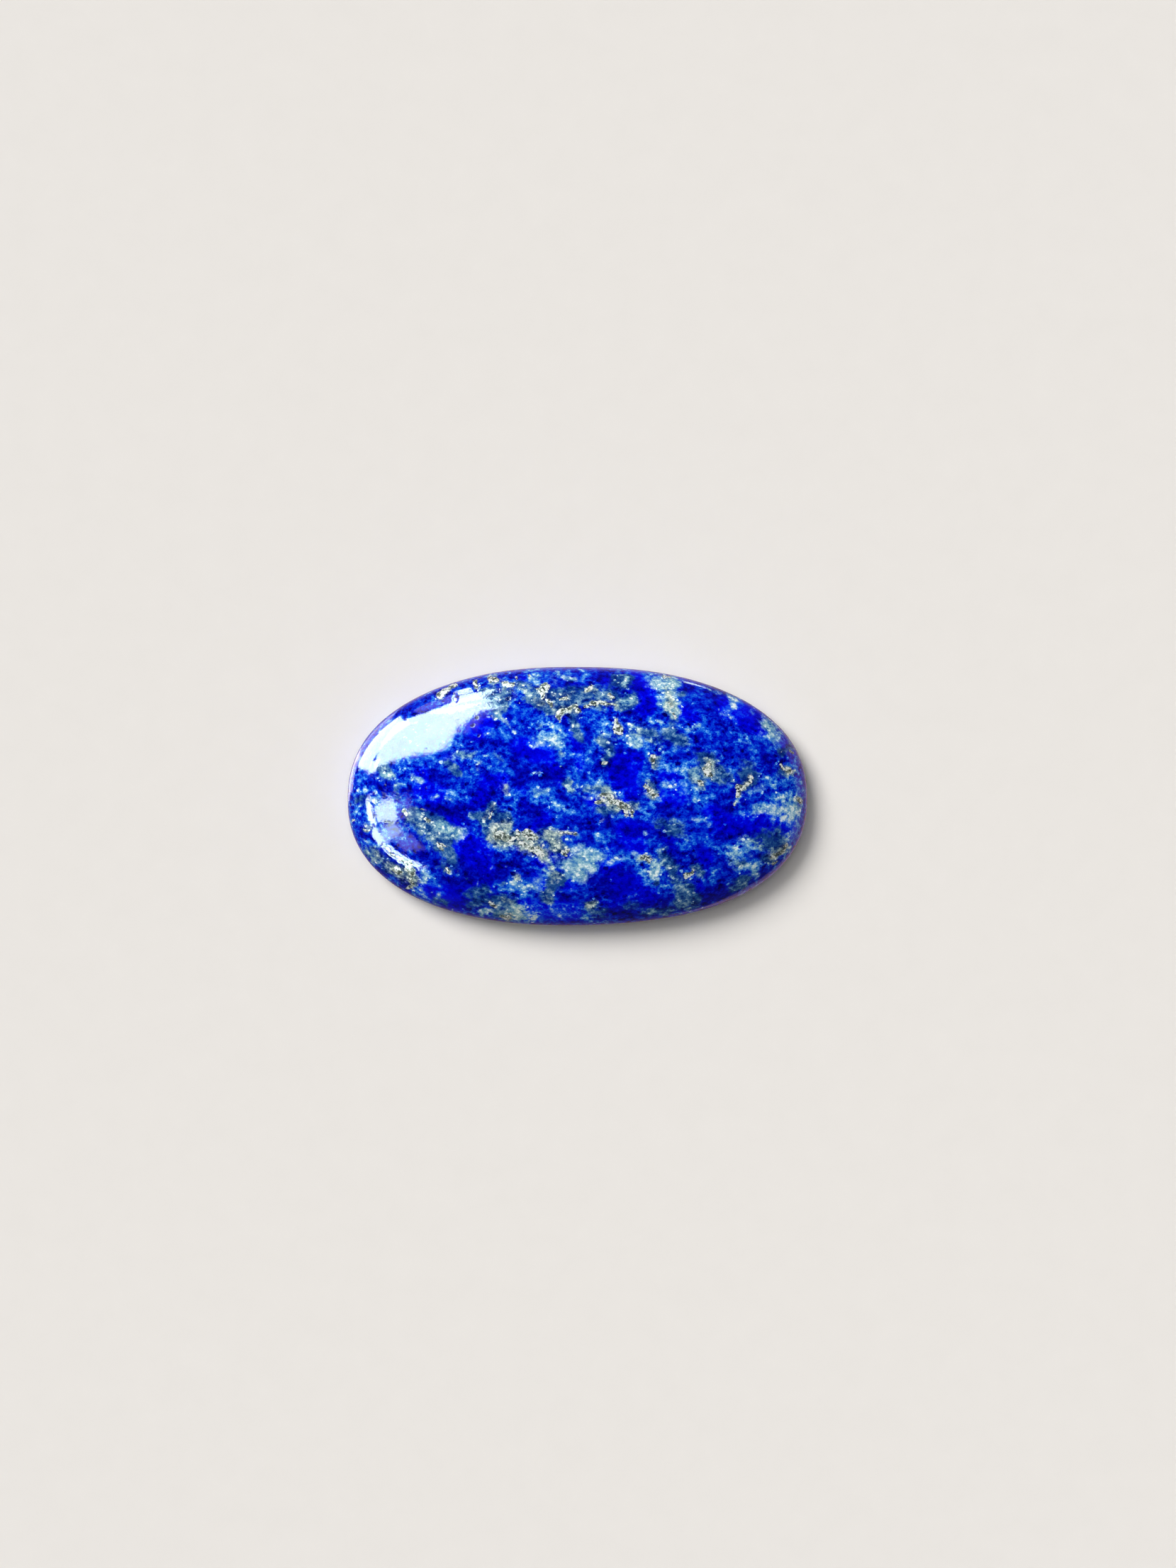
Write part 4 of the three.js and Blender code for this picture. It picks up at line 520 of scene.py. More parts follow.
DEEP_MARKS = [
    # upper left
    (0.5, 0.5, -10.4, 5.5, -9.8, 5.9), (0.5, 0.8, -8.8, 1.2, -8, 1.3), (0.4, 0.7, -10.3, 0.4, -9.3, 0.3),
    (0.35, 0.7, -12.7, 1.2, -12.2, 0.8), (0.4, 0.9, -5.8, 4.5, -5.2, 4.5), (0.5, 0.9, -6.6, 3.6, -4.9, 3.5),
    (0.35, 0.85, -3.2, 5.7, -2.8, 5.2), (0.35, 0.6, -4.2, 5.2, -3.5, 5), (0.3, 0.4, -3.3, 4.4, -2.9, 4.3),
    (0.35, 0.8, -3.3, 3.6, -3.9, 3.2), (0.6, 1, -3.6, 2.7, -2.4, 2.6), (0.35, 0.9, -1.9, 2.6, -1.4, 2.8),
    (0.7, 1, -3.2, 1.5, -1.6, 1.3), (0.4, 0.9, -3.6, 1, -3.3, 0.8), (0.5, 0.8, -6, 0.3, -5, 0.2),
    (0.35, 0.8, -5.7, 1.3, -4.9, 1.2), (0.35, 0.9, -0.8, 1.7, -0.4, 1.6), (0.4, 0.8, -1.5, 0.9, -1, 0.9),
    (0.3, 0.7, -1.5, 7.4, -1.2, 7.2), (0.3, 0.8, -0.5, 7.1, 0, 7.6), (0.3, 0.8, -0.7, 4.5, -0.5, 4.3),
    (0.25, 0.8, -3.4, 7.3), (0.35, 0.7, -4.9, 2.2, -4.8, 2), (0.35, 0.7, -6.8, 0.9, -6.6, 1.1),
    (0.3, 0.6, -4, 1.4), (0.3, 0.6, -1.8, 7), (0.3, 0.6, -4.2, 3.7), (0.3, 0.7, -2.6, 0.9, -3.1, 1.2),
    (0.3, 0.6, -0.4, 2.3), (0.3, 0.6, -1.3, 6.8), (0.3, 0.6, -1.6, 2.2), (0.3, 0.6, -10.4, 1.3),
    (0.3, 0.6, -0.5, 5), (0.3, 0.6, -1.6, 0.5), (0.3, 0.6, -1.5, 6.3), (0.3, 0.5, -7, 1.7),
    (0.3, 0.6, -6.4, 4.7), (0.35, 0.6, -8, 2.6), (0.3, 0.6, -9.5, 2.3), (0.3, 0.6, -1.8, 6.2),
    (0.35, 0.6, -11.9, 0.5, -11.4, 0.7), (0.3, 0.6, -7.4, 1.1, -7, 0.8), (0.3, 0.5, -8.1, 0.2),
    (0.3, 0.5, -9.3, 2.3, -8.8, 2.2), (0.3, 0.4, -1.2, 7.1, -0.7, 6.9), (0.4, 0.4, -4.4, 4.8, -3.9, 4.2),
    (0.3, 0.4, -2.4, 1.3, -1.9, 0.6), (0.3, 0.5, -6.5, 4.4, -6, 3.9), (0.35, 0.25, -8.3, 2.4, -7.4, 1.6),
    (0.4, 0.5, -1.2, 6.8, -0.6, 6.9), (0.3, 0.5, -2.4, 1, -2.4, 0.6), (0.5, 0.4, -1.8, 6, -0.8, 6.9),
    # upper right
    (0.4, 0.9, 0, 3.3, 0.6, 3.5), (0.3, 0.7, 0.6, 4.2, 0.9, 4), (0.4, 0.9, 1.4, 7.5, 2.1, 7.3),
    (0.45, 0.9, 2.8, 6.6, 3.6, 6.8), (0.5, 0.9, 3.7, 7.2, 4.4, 6.7), (0.5, 0.9, 3.9, 6, 4.6, 5.7),
    (0.35, 0.8, 3.2, 5.3, 4, 5.3), (0.4, 0.9, 5.2, 5, 5.7, 4.9), (0.5, 0.9, 6.5, 5.3, 6.9, 5.8),
    (0.4, 0.9, 6.8, 6.8, 7.2, 6.7), (0.7, 1, 2.4, 2.6, 2.8, 2), (0.6, 1, 2.4, 1.6, 3.4, 1.2),
    (0.4, 0.9, 3.2, 0.8, 3.8, 0.7), (0.35, 0.8, 3.4, 2.6, 3.9, 2.4), (0.17, 0.9, 5.4, 1.3, 6.2, 1.2),
    (0.25, 0.9, 5.3, 0.4, 6, 0.15), (0.3, 0.7, 6.2, 2.6, 6.6, 2.4), (0.3, 0.6, 5.7, 3.4, 6.2, 3.8),
    (0.7, 0.9, 8.2, 6.2, 8.8, 5.7), (0.35, 0.8, 7.1, 5.3, 7.4, 5.4), (0.3, 0.6, 10.3, 5.6, 10.5, 5.2),
    (0.6, 0.9, 10.3, 4.8, 11.2, 4.6), (0.4, 0.7, 8.3, 4.5, 8.6, 4.4), (0.4, 0.6, 7.6, 3.6, 8.4, 3.2),
    (0.5, 0.8, 10.2, 2.7, 9.6, 2.4), (0.4, 0.9, 11.6, 2.8, 11.8, 2.3), (0.45, 0.7, 11.9, 1.7, 12.3, 2),
    (0.35, 0.6, 8.4, 0.6, 8.7, 0.5), (0.3, 0.8, 11.6, 0.4, 11.9, 0.2), (0.4, 0.8, 0.6, 1.6, 1, 1.5),
    (0.35, 0.7, 1.4, 7.2, 2, 7.1), (0.3, 0.6, 2, 5.2), (0.35, 0.6, 4.3, 2.7, 4.8, 2.6),
    (0.35, 0.7, 7.4, 2.8, 7.7, 2.6), (0.4, 0.7, 10.3, 1.4, 10.8, 1.3), (0.35, 0.7, 9.2, 0.1, 9.6, 0.4),
    (0.3, 0.7, 0.5, 1.1), (0.3, 0.6, 0.2, 6.9, 0.6, 7), (0.35, 0.7, 8.9, 3.6, 9.4, 3.5),
    (0.3, 0.6, 7.5, 4.6), (0.3, 0.6, 0.4, 6.8), (0.35, 0.6, 1.3, 2, 1.9, 1.3), (0.3, 0.6, 0.2, 2),
    (0.35, 0.6, 3.9, 1.7), (0.3, 0.6, 10.6, 3), (0.3, 0.6, 12.7, 2.9), (0.3, 0.5, 3.5, 4),
    (0.3, 0.6, 12.8, 2.5), (0.25, 0.6, 11.2, 0.6), (0.35, 0.6, 11.3, 4.4), (0.3, 0.6, 12.4, 3.2),
    (0.35, 0.6, 10.5, 1.2), (0.3, 0.6, 11.2, 0.5), (0.25, 0.6, 8.2, 0.9), (0.3, 0.6, 11.2, 3.4, 11.8, 3.7),
    (0.3, 0.5, 1.3, 2.4, 2, 2.3), (0.3, 0.5, 7.9, 0.1), (0.3, 0.5, 6, 1.1, 6.4, 1),
    (0.35, 0.4, 4.4, 4.1, 5.3, 3.9), (0.35, 0.6, 2.7, 7, 3.5, 6.1), (0.3, 0.5, 0.7, 0.3, 0.9, -0.2),
    (0.35, 0.4, 9.3, 5.5, 9.7, 5.4), (0.5, 0.35, 0.6, 5, 2.4, 4), (0.3, 0.4, 3.9, 0.4, 4.2, 0),
    (0.35, 0.35, 9.6, 1.2, 9.9, 0.7), (0.35, 0.35, 5.4, 3, 6.2, 3),
    # lower left
    (0.35, 0.9, -0.6, -5.4, -0.3, -5.6), (0.4, 0.8, -0.8, -6.4, -0.2, -6.4),
    (0.5, 0.9, -2.7, -1.4, -2, -1.5), (0.35, 0.9, -1.6, -1.6, -0.7, -1.5),
    (0.4, 0.9, -3.3, -0.7, -2.4, -0.8), (0.35, 0.45, -3.7, -1.8, -3.2, -1.7),
    (0.7, 1, -6.9, -3.3, -6.1, -3), (0.6, 1, -6.5, -4.5, -4.6, -4.4), (0.5, 1, -5.5, -5.1, -4.7, -5),
    (0.4, 0.9, -7, -5.5, -6.4, -5.2), (0.4, 0.9, -2.9, -4.9, -2.4, -5), (0.4, 0.7, -3.8, -3.9, -3.3, -4.4),
    (0.3, 0.9, -1.3, -3.8, -0.8, -3.9), (0.3, 0.8, -1.9, -7.4, -0.3, -7.6),
    (0.4, 0.7, -6.7, -0.7, -6, -0.4), (0.3, 0.6, -5.9, -6.9, -5, -7.1), (0.5, 1, -9, -0.7, -7.6, -0.8),
    (0.4, 0.9, -7.9, -1.3, -7.5, -1.6), (0.25, 0.9, -10.1, -2.2, -9.8, -2.4),
    (0.3, 0.9, -7.4, -2.8, -7.1, -3.2), (0.35, 0.9, -9.8, -3.1, -9.5, -3.7),
    (0.35, 0.8, -8.8, -3.9, -9, -4.4), (0.8, 1, -8, -5.3, -7.3, -5.8), (0.5, 1, -8.1, -6.3, -7, -6.5),
    (0.4, 0.9, -8.2, -4.2, -7.5, -4.2), (0.33, 1, -9.3, -5.6, -8.9, -6),
    (0.3, 0.8, -13.1, -2.4, -12.6, -2.5), (0.3, 0.8, -10.9, -5, -10.6, -5.4),
    (0.3, 0.8, -11.9, -3.7, -11.6, -3.9), (0.3, 0.8, -12.2, -4.5, -11.9, -4.7),
    (0.3, 0.7, -10.4, -0.2, -9.8, -0.5), (0.35, 0.8, -0.9, 0, -0.6, -0.4), (0.3, 0.6, -0.3, -1.4),
    (0.4, 0.55, -2.6, -6.5, -2.3, -6.2), (0.35, 0.7, -1.2, -5.6, -0.8, -5.3),
    (0.3, 0.6, -5.6, -1.4, -5, -1.4), (0.35, 0.7, -2.4, -1.9, -2, -1.8), (0.3, 0.6, -0.4, -1.6, -0.1, -1.8),
    (0.35, 0.3, -3.2, -3.9, -2.8, -3.8), (0.3, 0.6, -5.3, -6.1), (0.3, 0.6, -1.3, -5.4),
    (0.3, 0.6, -0.5, -2.6, 0.3, -3), (0.3, 0.6, -3.3, -3.5), (0.3, 0.6, -6.3, -3.7), (0.25, 0.7, -9.1, -2),
    (0.25, 0.6, -1, -5.3), (0.3, 0.6, -1.7, -6.1), (0.3, 0.6, -5, -6.2), (0.3, 0.6, -6, -1.4),
    (0.3, 0.6, -2.2, -1.9), (0.3, 0.5, -1, -2.8), (0.3, 0.6, -7, -1.8), (0.3, 0.5, -4.5, -1.4),
    (0.3, 0.5, -2.8, -5.2), (0.3, 0.6, -13.2, -0.4), (0.35, 0.6, -11, -4),
    (0.3, 0.5, -13.4, -0.3, -13, -0.3), (0.35, 0.6, -7.4, -1.7, -6.8, -1.8),
    (0.35, 0.3, -3.8, -3.1, -2.6, -3.7), (0.35, 0.5, -6, -5.4, -3.9, -5.6),
    (0.3, 0.5, -8.6, -2.3, -8.4, -2.8), (0.35, 0.4, -3.2, -5.8, -2.7, -6.3),
    (0.4, 0.35, -12.4, -3.6, -11.7, -3.9),
    # lower right
    (0.4, 0.9, 10.4, -0.2, 10.8, -0.3), (0.6, 1, 9.2, -1.3, 9.8, -2.2), (0.55, 0.9, 10.4, -2, 11.2, -2.1),
    (0.35, 0.9, 11.3, -1.4, 11.7, -1.5), (0.4, 0.8, 7.2, -0.9, 8.9, -0.8), (0.3, 0.8, 7.6, -2, 8.3, -2),
    (0.5, 0.9, 7.4, -3.3, 8, -3.7), (0.45, 0.9, 8.8, -4.2, 9.4, -4.7), (0.25, 0.9, 10.7, -3.7, 11.2, -3.7),
    (0.25, 0.8, 10.2, -4.9, 10.6, -4.9), (0.6, 0.85, 7.8, -5.6, 8.8, -5.6), (0.4, 1, 7.9, -6.3, 9.2, -6.2),
    (0.3, 0.8, 11.3, -4.9, 11.8, -4.7), (0.6, 1, 5.6, -0.2, 6.4, -0.2), (0.35, 0.9, 5.3, -0.9, 5.9, -1.1),
    (0.4, 0.9, 5.3, -2.6, 5.9, -2.5), (0.45, 0.9, 5.8, -3.2, 6.3, -3.7), (0.8, 1, 2.6, -4.9, 3.2, -5.4),
    (0.6, 1, 1.6, -5.4, 2.4, -5.8), (0.5, 0.9, 4.3, -6.4, 5.6, -6.4), (0.4, 0.9, 1.8, -7, 3.8, -7.3),
    (0.4, 1, 2.6, -3.2, 3, -3.4), (0.5, 0.9, 2.2, -1.9, 3.8, -1.7), (0.5, 0.9, 3.3, -2.4, 4.5, -2.2),
    (0.35, 0.9, 0.3, -0.3, 0.6, -0.3), (0.4, 0.8, 0.5, -1.6, 1, -1.9), (0.3, 0.9, 0.5, -2.8, 1.4, -2.9),
    (0.35, 0.8, 3.4, -0.1, 3.9, -0.1), (0.3, 0.9, 3.4, -3.2, 3.9, -3.2), (0.4, 0.8, 0.4, -6.3, 1.2, -6),
    (0.35, 0.7, 1.4, -1.4, 1.8, -1.7), (0.35, 0.7, 9, -2.5, 9.5, -2.5), (0.35, 0.4, 11.4, -2.4, 11.9, -2.5),
    (0.3, 0.7, 6.8, -1.2), (0.3, 0.7, 7.2, -2.4), (0.3, 0.6, 0.3, -2.6), (0.35, 0.8, 0.8, -5.1, 1.1, -5),
    (0.3, 0.6, 6, -4.9), (0.35, 0.6, 10.3, -2.3, 11.8, -2.6), (0.3, 0.6, 3.4, -4.7), (0.3, 0.6, 12.3, -2.6),
    (0.3, 0.6, 1.7, -2), (0.3, 0.6, 1.9, -1.2), (0.35, 0.7, 7, -1.5), (0.3, 0.6, 5.8, -4.3),
    (0.3, 0.7, 0.5, -5.3, 0.7, -4.9), (0.3, 0.6, 0, -0.8, 0.2, -1.3), (0.35, 0.6, 11.6, -0.4, 12.2, 0),
    (0.35, 0.6, 8, -2.5, 8.7, -2.8), (0.3, 0.6, 2.3, -3, 2.7, -3.6), (0.3, 0.5, 5.5, -1.9, 5.9, -2),
    (0.35, 0.4, -1, -3.1, 1, -3.3), (0.35, 0.5, 12.5, -1.9, 13.3, -2), (0.4, 0.4, 6.3, -4.5, 6.7, -4.8),
    (0.4, 0.4, 5.2, -5.2, 5.7, -5.3), (0.3, 0.5, 0.6, -4.8, 0.8, -5.2),
]

COBALT_MARKS = [
    # upper left
    (0.5, 1, -3.4, 3, -2.2, 2.6), (0.4, 0.9, -6.2, 3.9, -5.5, 4.5), (0.35, 0.9, -5.7, 1, -4.7, 1),
    (0.3, 0.8, -5.8, 0.2), (0.3, 0.8, -1.7, 2.4, -1.3, 1.6), (0.3, 0.7, -0.9, 0.9),
    (0.4, 0.7, -9.8, 0.3, -8.6, 0.2), (0.3, 0.6, -0.2, 6.8), (0.3, 0.6, -3.4, 7.2),
    (0.5, 0.7, -9.4, 0.6, -9.6, 1.4), (0.35, 0.6, -8.8, -0.2, -8.2, 0.3), (0.35, 0.6, -6.4, 4.4, -5.8, 4.2),
    (0.35, 0.35, -8.1, 2.4, -7.3, 1.6), (0.4, 0.4, -3.4, 3.2, -2.4, 3.2), (0.35, 0.5, -0.3, 3.8, 0.2, 1.9),
    (0.35, 0.4, -3.5, 0.6, -3.2, -0.5),
    # upper right
    (0.6, 1, 3, 1.5, 2.9, 1.2), (0.4, 0.8, 2.6, 2.3, 3.6, 2.3), (0.3, 0.7, 5.4, 1.3, 6, 1.3),
    (0.5, 1, 3.8, 6.9, 4.3, 5.8), (0.35, 0.8, 2, 7.1), (0.4, 0.7, 6, 5.4, 7.2, 5),
    (0.5, 0.6, 9, 5.8, 10.8, 4.9), (0.3, 0.6, 12, 4.4), (0.35, 0.8, 7.6, 2.6),
    (0.5, 0.8, 3.2, 1.2, 3.3, 0.5), (0.5, 0.8, 3.4, 7.1, 4.2, 6.4), (0.5, 0.8, 10.4, 4.8, 11.4, 4.2),
    (0.4, 0.6, 4.2, 5.2), (0.4, 0.7, 9.4, 5.3), (0.35, 0.5, 6, 0.9, 6.4, 0.5),
    (0.4, 0.4, 8.4, 1.3, 9.2, 1.2), (0.3, 0.65, 2.3, 1.4, 2.9, 1.3),
    # lower left
    (0.35, 0.7, -7.9, -1.3, -7.4, -1.8), (0.5, 1, -7.2, -2.9, -5.8, -3.2), (0.5, 1, -9.2, -5.8, -7.3, -6.4),
    (0.3, 0.7, -6.4, -5.6), (0.4, 0.7, -2.5, -5.2, -2, -5.6), (0.35, 0.7, -0.8, -5.4, -0.3, -5.6),
    (0.4, 0.9, -3.2, -7.2, -0.2, -7.2), (0.5, 0.8, -6.8, -3.4, -5.6, -4.5), (0.4, 0.7, -3.6, -6.8, -1, -7),
    (0.3, 0.5, -2.5, -4, -2.1, -4.2), (0.45, 0.6, -2.7, -2.1, -1.9, -1.3),
    (0.4, 0.4, -6.4, -0.4, -5.6, -0.2), (0.35, 0.4, -0.8, -7, -0.2, -7),
    (0.5, 0.55, -7.5, -6.5, -5.5, -5.8), (0.5, 0.35, -6.9, -2.4, -6.8, -3.4),
    # lower right
    (0.4, 0.6, 3.1, -0.2), (0.45, 1, 5.6, -0.1, 6.2, -0.2), (0.5, 0.9, 3, -2, 3.8, -3.2),
    (0.4, 0.6, 5.8, -2.4), (0.4, 0.4, 1.8, -4.2), (0.5, 0.6, 3.3, -5.1, 4.5, -6.1),
    (0.4, 0.8, 8.2, -0.8, 9.6, -1.8), (0.5, 0.8, 11.5, -2, 12.6, -0.8), (0.4, 0.8, 7.4, -5.6),
    (0.3, 0.7, 8, -3.8), (0.3, 0.6, 1.6, -0.4), (0.4, 0.7, 1.4, -0.2, 1, -0.3),
    (0.6, 0.8, 10.6, -1.6, 12.6, -1.8), (0.35, 0.5, 2, -4, 2.6, -4.1), (0.35, 0.5, 12.5, -1.9, 13.3, -1.9),
    (0.5, 0.55, 2, -4.8, 2.9, -6.3), (0.4, 0.4, 7.9, -3.4, 8, -4.4), (0.5, 0.4, 11.4, -2.4, 12, -2.5),
    (0.45, 0.4, 3.5, -1.9, 5.6, -2, 5.8, -3.2), (0.4, 0.4, 8.4, -2.3, 9.2, -1.8),
    (0.35, 0.4, 1.9, -3.2, 2.6, -3), (0.4, 0.4, 1.2, -6.6, 2.2, -6.6), (0.35, 0.4, 4, -6.4, 4.6, -6.3),
]

MINERALS = {
    "pyrite": PYRITE_MARKS,
    "sage": SAGE_MARKS,
    "calcite": CALCITE_MARKS,
    "azure": AZURE_MARKS,
    "slate": SLATE_MARKS,
    "deep": DEEP_MARKS,
    "cobalt": COBALT_MARKS,
}

# A little sage-grey matrix lies round all pyrite, out to this many times the width of its marks
SAGE_SPREAD = 1.5
SAGE_ROUND_PYRITE = 0.7

# Painted shade: the colour darkens towards the rim, below this height
RIM_SHADE_TOP = 2.2

# The minerals lie in sheets that lean over: on the side, a mark moves this far along X and Y for each
# millimetre down
LEAN = np.array([0.75, -0.45])

# Noise makes the marks ragged. Each has its pitch, its reach on each axis and its shift.
RAGGED_EDGES = [(0.9, 0.16, 3.1), (0.3, 0.07, 8.4)]
NOISE_SEED = 1795516959  # without it, the ragged edges would come out differently each run


def wander(points, pitch, reach, shift):
    """Moves each point by smooth noise of this pitch, up to the reach on each axis."""
    moved = [noise.noise_vector(Vector(point) / pitch + Vector((shift, shift, shift))) for point in points]
    return points + reach * np.array(moved)


def stroke_distance(places, points):
    """Distance from each place to the line through a mark's points."""
    nearest = np.full(len(places), np.inf)
    for start, end in zip(points, np.concatenate([points[1:], points[-1:]])):
        run = end - start
        along = np.clip((places - start) @ run / max(run @ run, 1e-9), 0, 1)
        nearest = np.minimum(nearest, np.linalg.norm(places - start - along[:, None] * run, axis=1))
    return nearest


def mark_amount(places, marks, spread=1):
    """How much of a mineral is at each place, from 0 to 1. Spread widens its marks."""
    clear = np.ones(len(places))
    for half_width, amount, *numbers in marks:
        distance = stroke_distance(places, np.reshape(numbers, (-1, 2)))
        clear *= 1 - amount * 0.5 ** (distance / (half_width * spread)) ** 2
    return 1 - clear


def places_seen(points):
    """Where the camera sees each point, as a place on the level of the girdle's top."""
    scale = (CAMERA[2] - GIRDLE_TOP) / (CAMERA[2] - points[:, 2:])
    return CAMERA[:2] + (points[:, :2] - CAMERA[:2]) * scale


def mineral_amounts(points):
    """Each mineral's amount at each point of the surface by name, and under rim how much painted shade
    darkens it towards the rim.
    """
    noise.seed_set(NOISE_SEED)
    ragged = points
    for pitch, reach, shift in RAGGED_EDGES:
        ragged = wander(ragged, pitch, reach, shift)
    below_dome = np.maximum(0, GIRDLE_TOP - points[:, 2:])
    places = places_seen(ragged) - below_dome * LEAN
    amounts = {name: mark_amount(places, marks) for name, marks in MINERALS.items()}
    around_pyrite = SAGE_ROUND_PYRITE * mark_amount(places, PYRITE_MARKS, SAGE_SPREAD)
    amounts["sage"] = np.maximum(amounts["sage"], around_pyrite)
    # rim is no mineral: it is how much painted shade darkens the colour towards the rim
    amounts["rim"] = np.clip((RIM_SHADE_TOP - points[:, 2]) / (RIM_SHADE_TOP - GIRDLE_TOP), 0, 1)
    return amounts


# ---------------------------------------------------------------------------------------------------------
# The mesh
# ---------------------------------------------------------------------------------------------------------

# The flat map of the surface: the dome takes most of it, the back the rest, and the side is two strips.
# Each part is given by its low and high corners.
DOME_MAP = ((0.005, 0.425), (0.995, 0.995))
BACK_MAP = ((0.005, 0.095), (0.995, 0.415))
SIDE_MAPS = (((0.005, 0.005), (0.995, 0.042)), ((0.005, 0.050), (0.995, 0.087)))

# The polish leaves slow waves, a groove round each grain of pyrite and a dip in the softer calcite
WAVES = [(2.6, 0.007, 5.2), (1.0, 0.0045, 17.9), (0.5, 0.002, 31.4)]  # wavelength, height, shift
PYRITE_GROOVE = 0.022
CALCITE_DIP = 0.006


def fit_map(flat, corners):
    """Scales places from the square -1 to 1 into a part of the map."""
    low, high = np.array(corners[0]), np.array(corners[1])
    return low + (flat + 1) / 2 * (high - low)


def polar(radius, angle, height):
    """Points from their distance to the axis, angle and height."""
    return np.stack([radius * np.cos(angle), radius * np.sin(angle), height + 0 * radius], axis=1)


class Surface:
    """The stone's vertices in rings and grids, its faces, and each face corner's place on the map."""

    def __init__(self):
        self.points = np.zeros((0, 3))
        self.faces = []
        self.places = []

    def add_points(self, points):
        first = len(self.points)
        self.points = np.concatenate([self.points, points])
        return first

    def add_face(self, corners, places):
        self.faces.append([int(corner) for corner in corners])
        self.places.append(places)

    def add_dome(self):
        """Adds the dome, and gives back the vertices of its rim with their angles."""
        part, angle, round_angle = disc_grid(CELLS_LONG, CELLS_WIDE)
        share = even_share(part)
        self.add_points(polar(share * edge_radius(angle), angle, dome_height(share)))
        places = fit_map(polar(part, round_angle, 0)[:, :2], DOME_MAP)
        for cell in grid_cells(CELLS_LONG, CELLS_WIDE):
            self.add_face(cell, places[cell])
        rim = grid_rim(CELLS_LONG, CELLS_WIDE)
        return rim, angle[rim]

    def add_side(self, ring, angle):
        """Adds the girdle and bevel below the dome's rim, and gives back the vertices of their foot."""
        section = [(0, GIRDLE_TOP)] + side_section()
        way = np.concatenate([[0], np.cumsum(np.linalg.norm(np.diff(section, axis=0), axis=1))])
        levels = 1 - 2 * way / way[-1]
        count = len(ring)
        half = count // 2
        for row, (inset, height) in enumerate(section[1:]):
            below = self.add_points(polar(edge_radius(angle) - inset, angle, height)) + np.arange(count)
            top, foot = levels[row], levels[row + 1]
            for i in range(count):
                j = (i + 1) % count
                strip, step = divmod(i, half)
                left = -1 + 2 * step / half
                right = -1 + 2 * (step + 1) / half
                flat = np.array([(left, top), (left, foot), (right, foot), (right, top)])
                self.add_face((ring[i], below[i], below[j], ring[j]), fit_map(flat, SIDE_MAPS[strip]))
            ring = below
        return ring

    def add_back(self, ring):
        """Adds the flat back inside the foot of the bevel, with wider cells than the dome's."""
        cells_long, cells_wide = CELLS_LONG // COARSE, CELLS_WIDE // COARSE
        part, angle, _ = disc_grid(cells_long, cells_wide)
        reach = (1 - 2 / cells_wide) * (edge_radius(angle) - BEVEL_INSET)
        first = self.add_points(polar(part * reach, angle, 0))
        places = fit_map(self.points[:, :2] / (LENGTH / 2, WIDTH / 2), BACK_MAP)
        for cell in grid_cells(cells_long, cells_wide):
            face = cell[::-1] + first
            self.add_face(face, places[face])
        inner = grid_rim(cells_long, cells_wide) + first
        for i, corner in enumerate(inner):
            outside = [ring[(i * COARSE + step) % len(ring)] for step in range(COARSE, -1, -1)]
            face = [corner, inner[(i + 1) % len(inner)], *outside]
            self.add_face(face, places[face])


def polish_relief(points, amounts):
    """How far the surface stands below its ideal form at each point."""
    relief = np.zeros(len(points))
    for wavelength, height, shift in WAVES:
        waves = [noise.noise(Vector(point) / wavelength + Vector((shift, shift, shift))) for point in points]
        relief += height * (1 + np.array(waves))
    grain = np.clip(amounts["pyrite"] * 2 - 0.5, 0, 1)
    edge = 4 * grain * (1 - grain)  # 1 halfway up a grain's edge, and 0 inside and outside it
    return relief + PYRITE_GROOVE * edge + CALCITE_DIP * amounts["calcite"]


def build_stone():
    """The stone's mesh object, with its relief, its map and its minerals as attributes."""
    surface = Surface()
    rim, rim_angle = surface.add_dome()
    foot = surface.add_side(rim, rim_angle)
    surface.add_back(foot)

    mesh = bpy.data.meshes.new("stone_face")
    mesh.from_pydata((surface.points * MM).tolist(), [], surface.faces)
    uv_layer = mesh.uv_layers.new(name="OFBake")
    uv_layer.uv.foreach_set("vector", np.concatenate(surface.places).astype(np.float32).ravel())
    mesh.shade_smooth()

    normals = np.empty(surface.points.size, dtype=np.float32)
    mesh.vertex_normals.foreach_get("vector", normals)
    normals = normals.reshape(-1, 3)
    amounts = mineral_amounts(surface.points)
    points = surface.points - normals * polish_relief(surface.points, amounts)[:, None]
    points = np.clip(points, np.array(box_low) / MM, np.array(box_high) / MM) * MM
    mesh.vertices.foreach_set("co", points.astype(np.float32).ravel())
    mesh.update()
    for name, amount in amounts.items():
        attribute = mesh.attributes.new(name, "FLOAT", "POINT")
        attribute.data.foreach_set("value", amount.astype(np.float32))
    stone = bpy.data.objects.new("stone_face", mesh)
    bpy.context.scene.collection.objects.link(stone)
    return stone


# ---------------------------------------------------------------------------------------------------------
# Shader tools
# ---------------------------------------------------------------------------------------------------------


class Wire:
    """An output of a shader node. Arithmetic on it adds Math nodes."""

    def __init__(self, socket):
        self.socket = socket

    def math(self, operation, *values):
        tree = self.socket.id_data
        return add_node(tree, "ShaderNodeMath", {"operation": operation}, dict(enumerate(values)))

    def __add__(self, other):
        return self.math("ADD", self, other)

    def __sub__(self, other):
        return self.math("SUBTRACT", self, other)

    def __rsub__(self, other):
        return self.math("SUBTRACT", other, self)

    def __mul__(self, other):
        return self.math("MULTIPLY", self, other)

    __radd__ = __add__
    __rmul__ = __mul__

    def step(self, low, high):
        """Rises smoothly from 0 at low to 1 at high."""
        values = {"Value": self, "From Min": low, "From Max": high}
        settings = {"interpolation_type": "SMOOTHSTEP"}
        return add_node(self.socket.id_data, "ShaderNodeMapRange", settings, values)


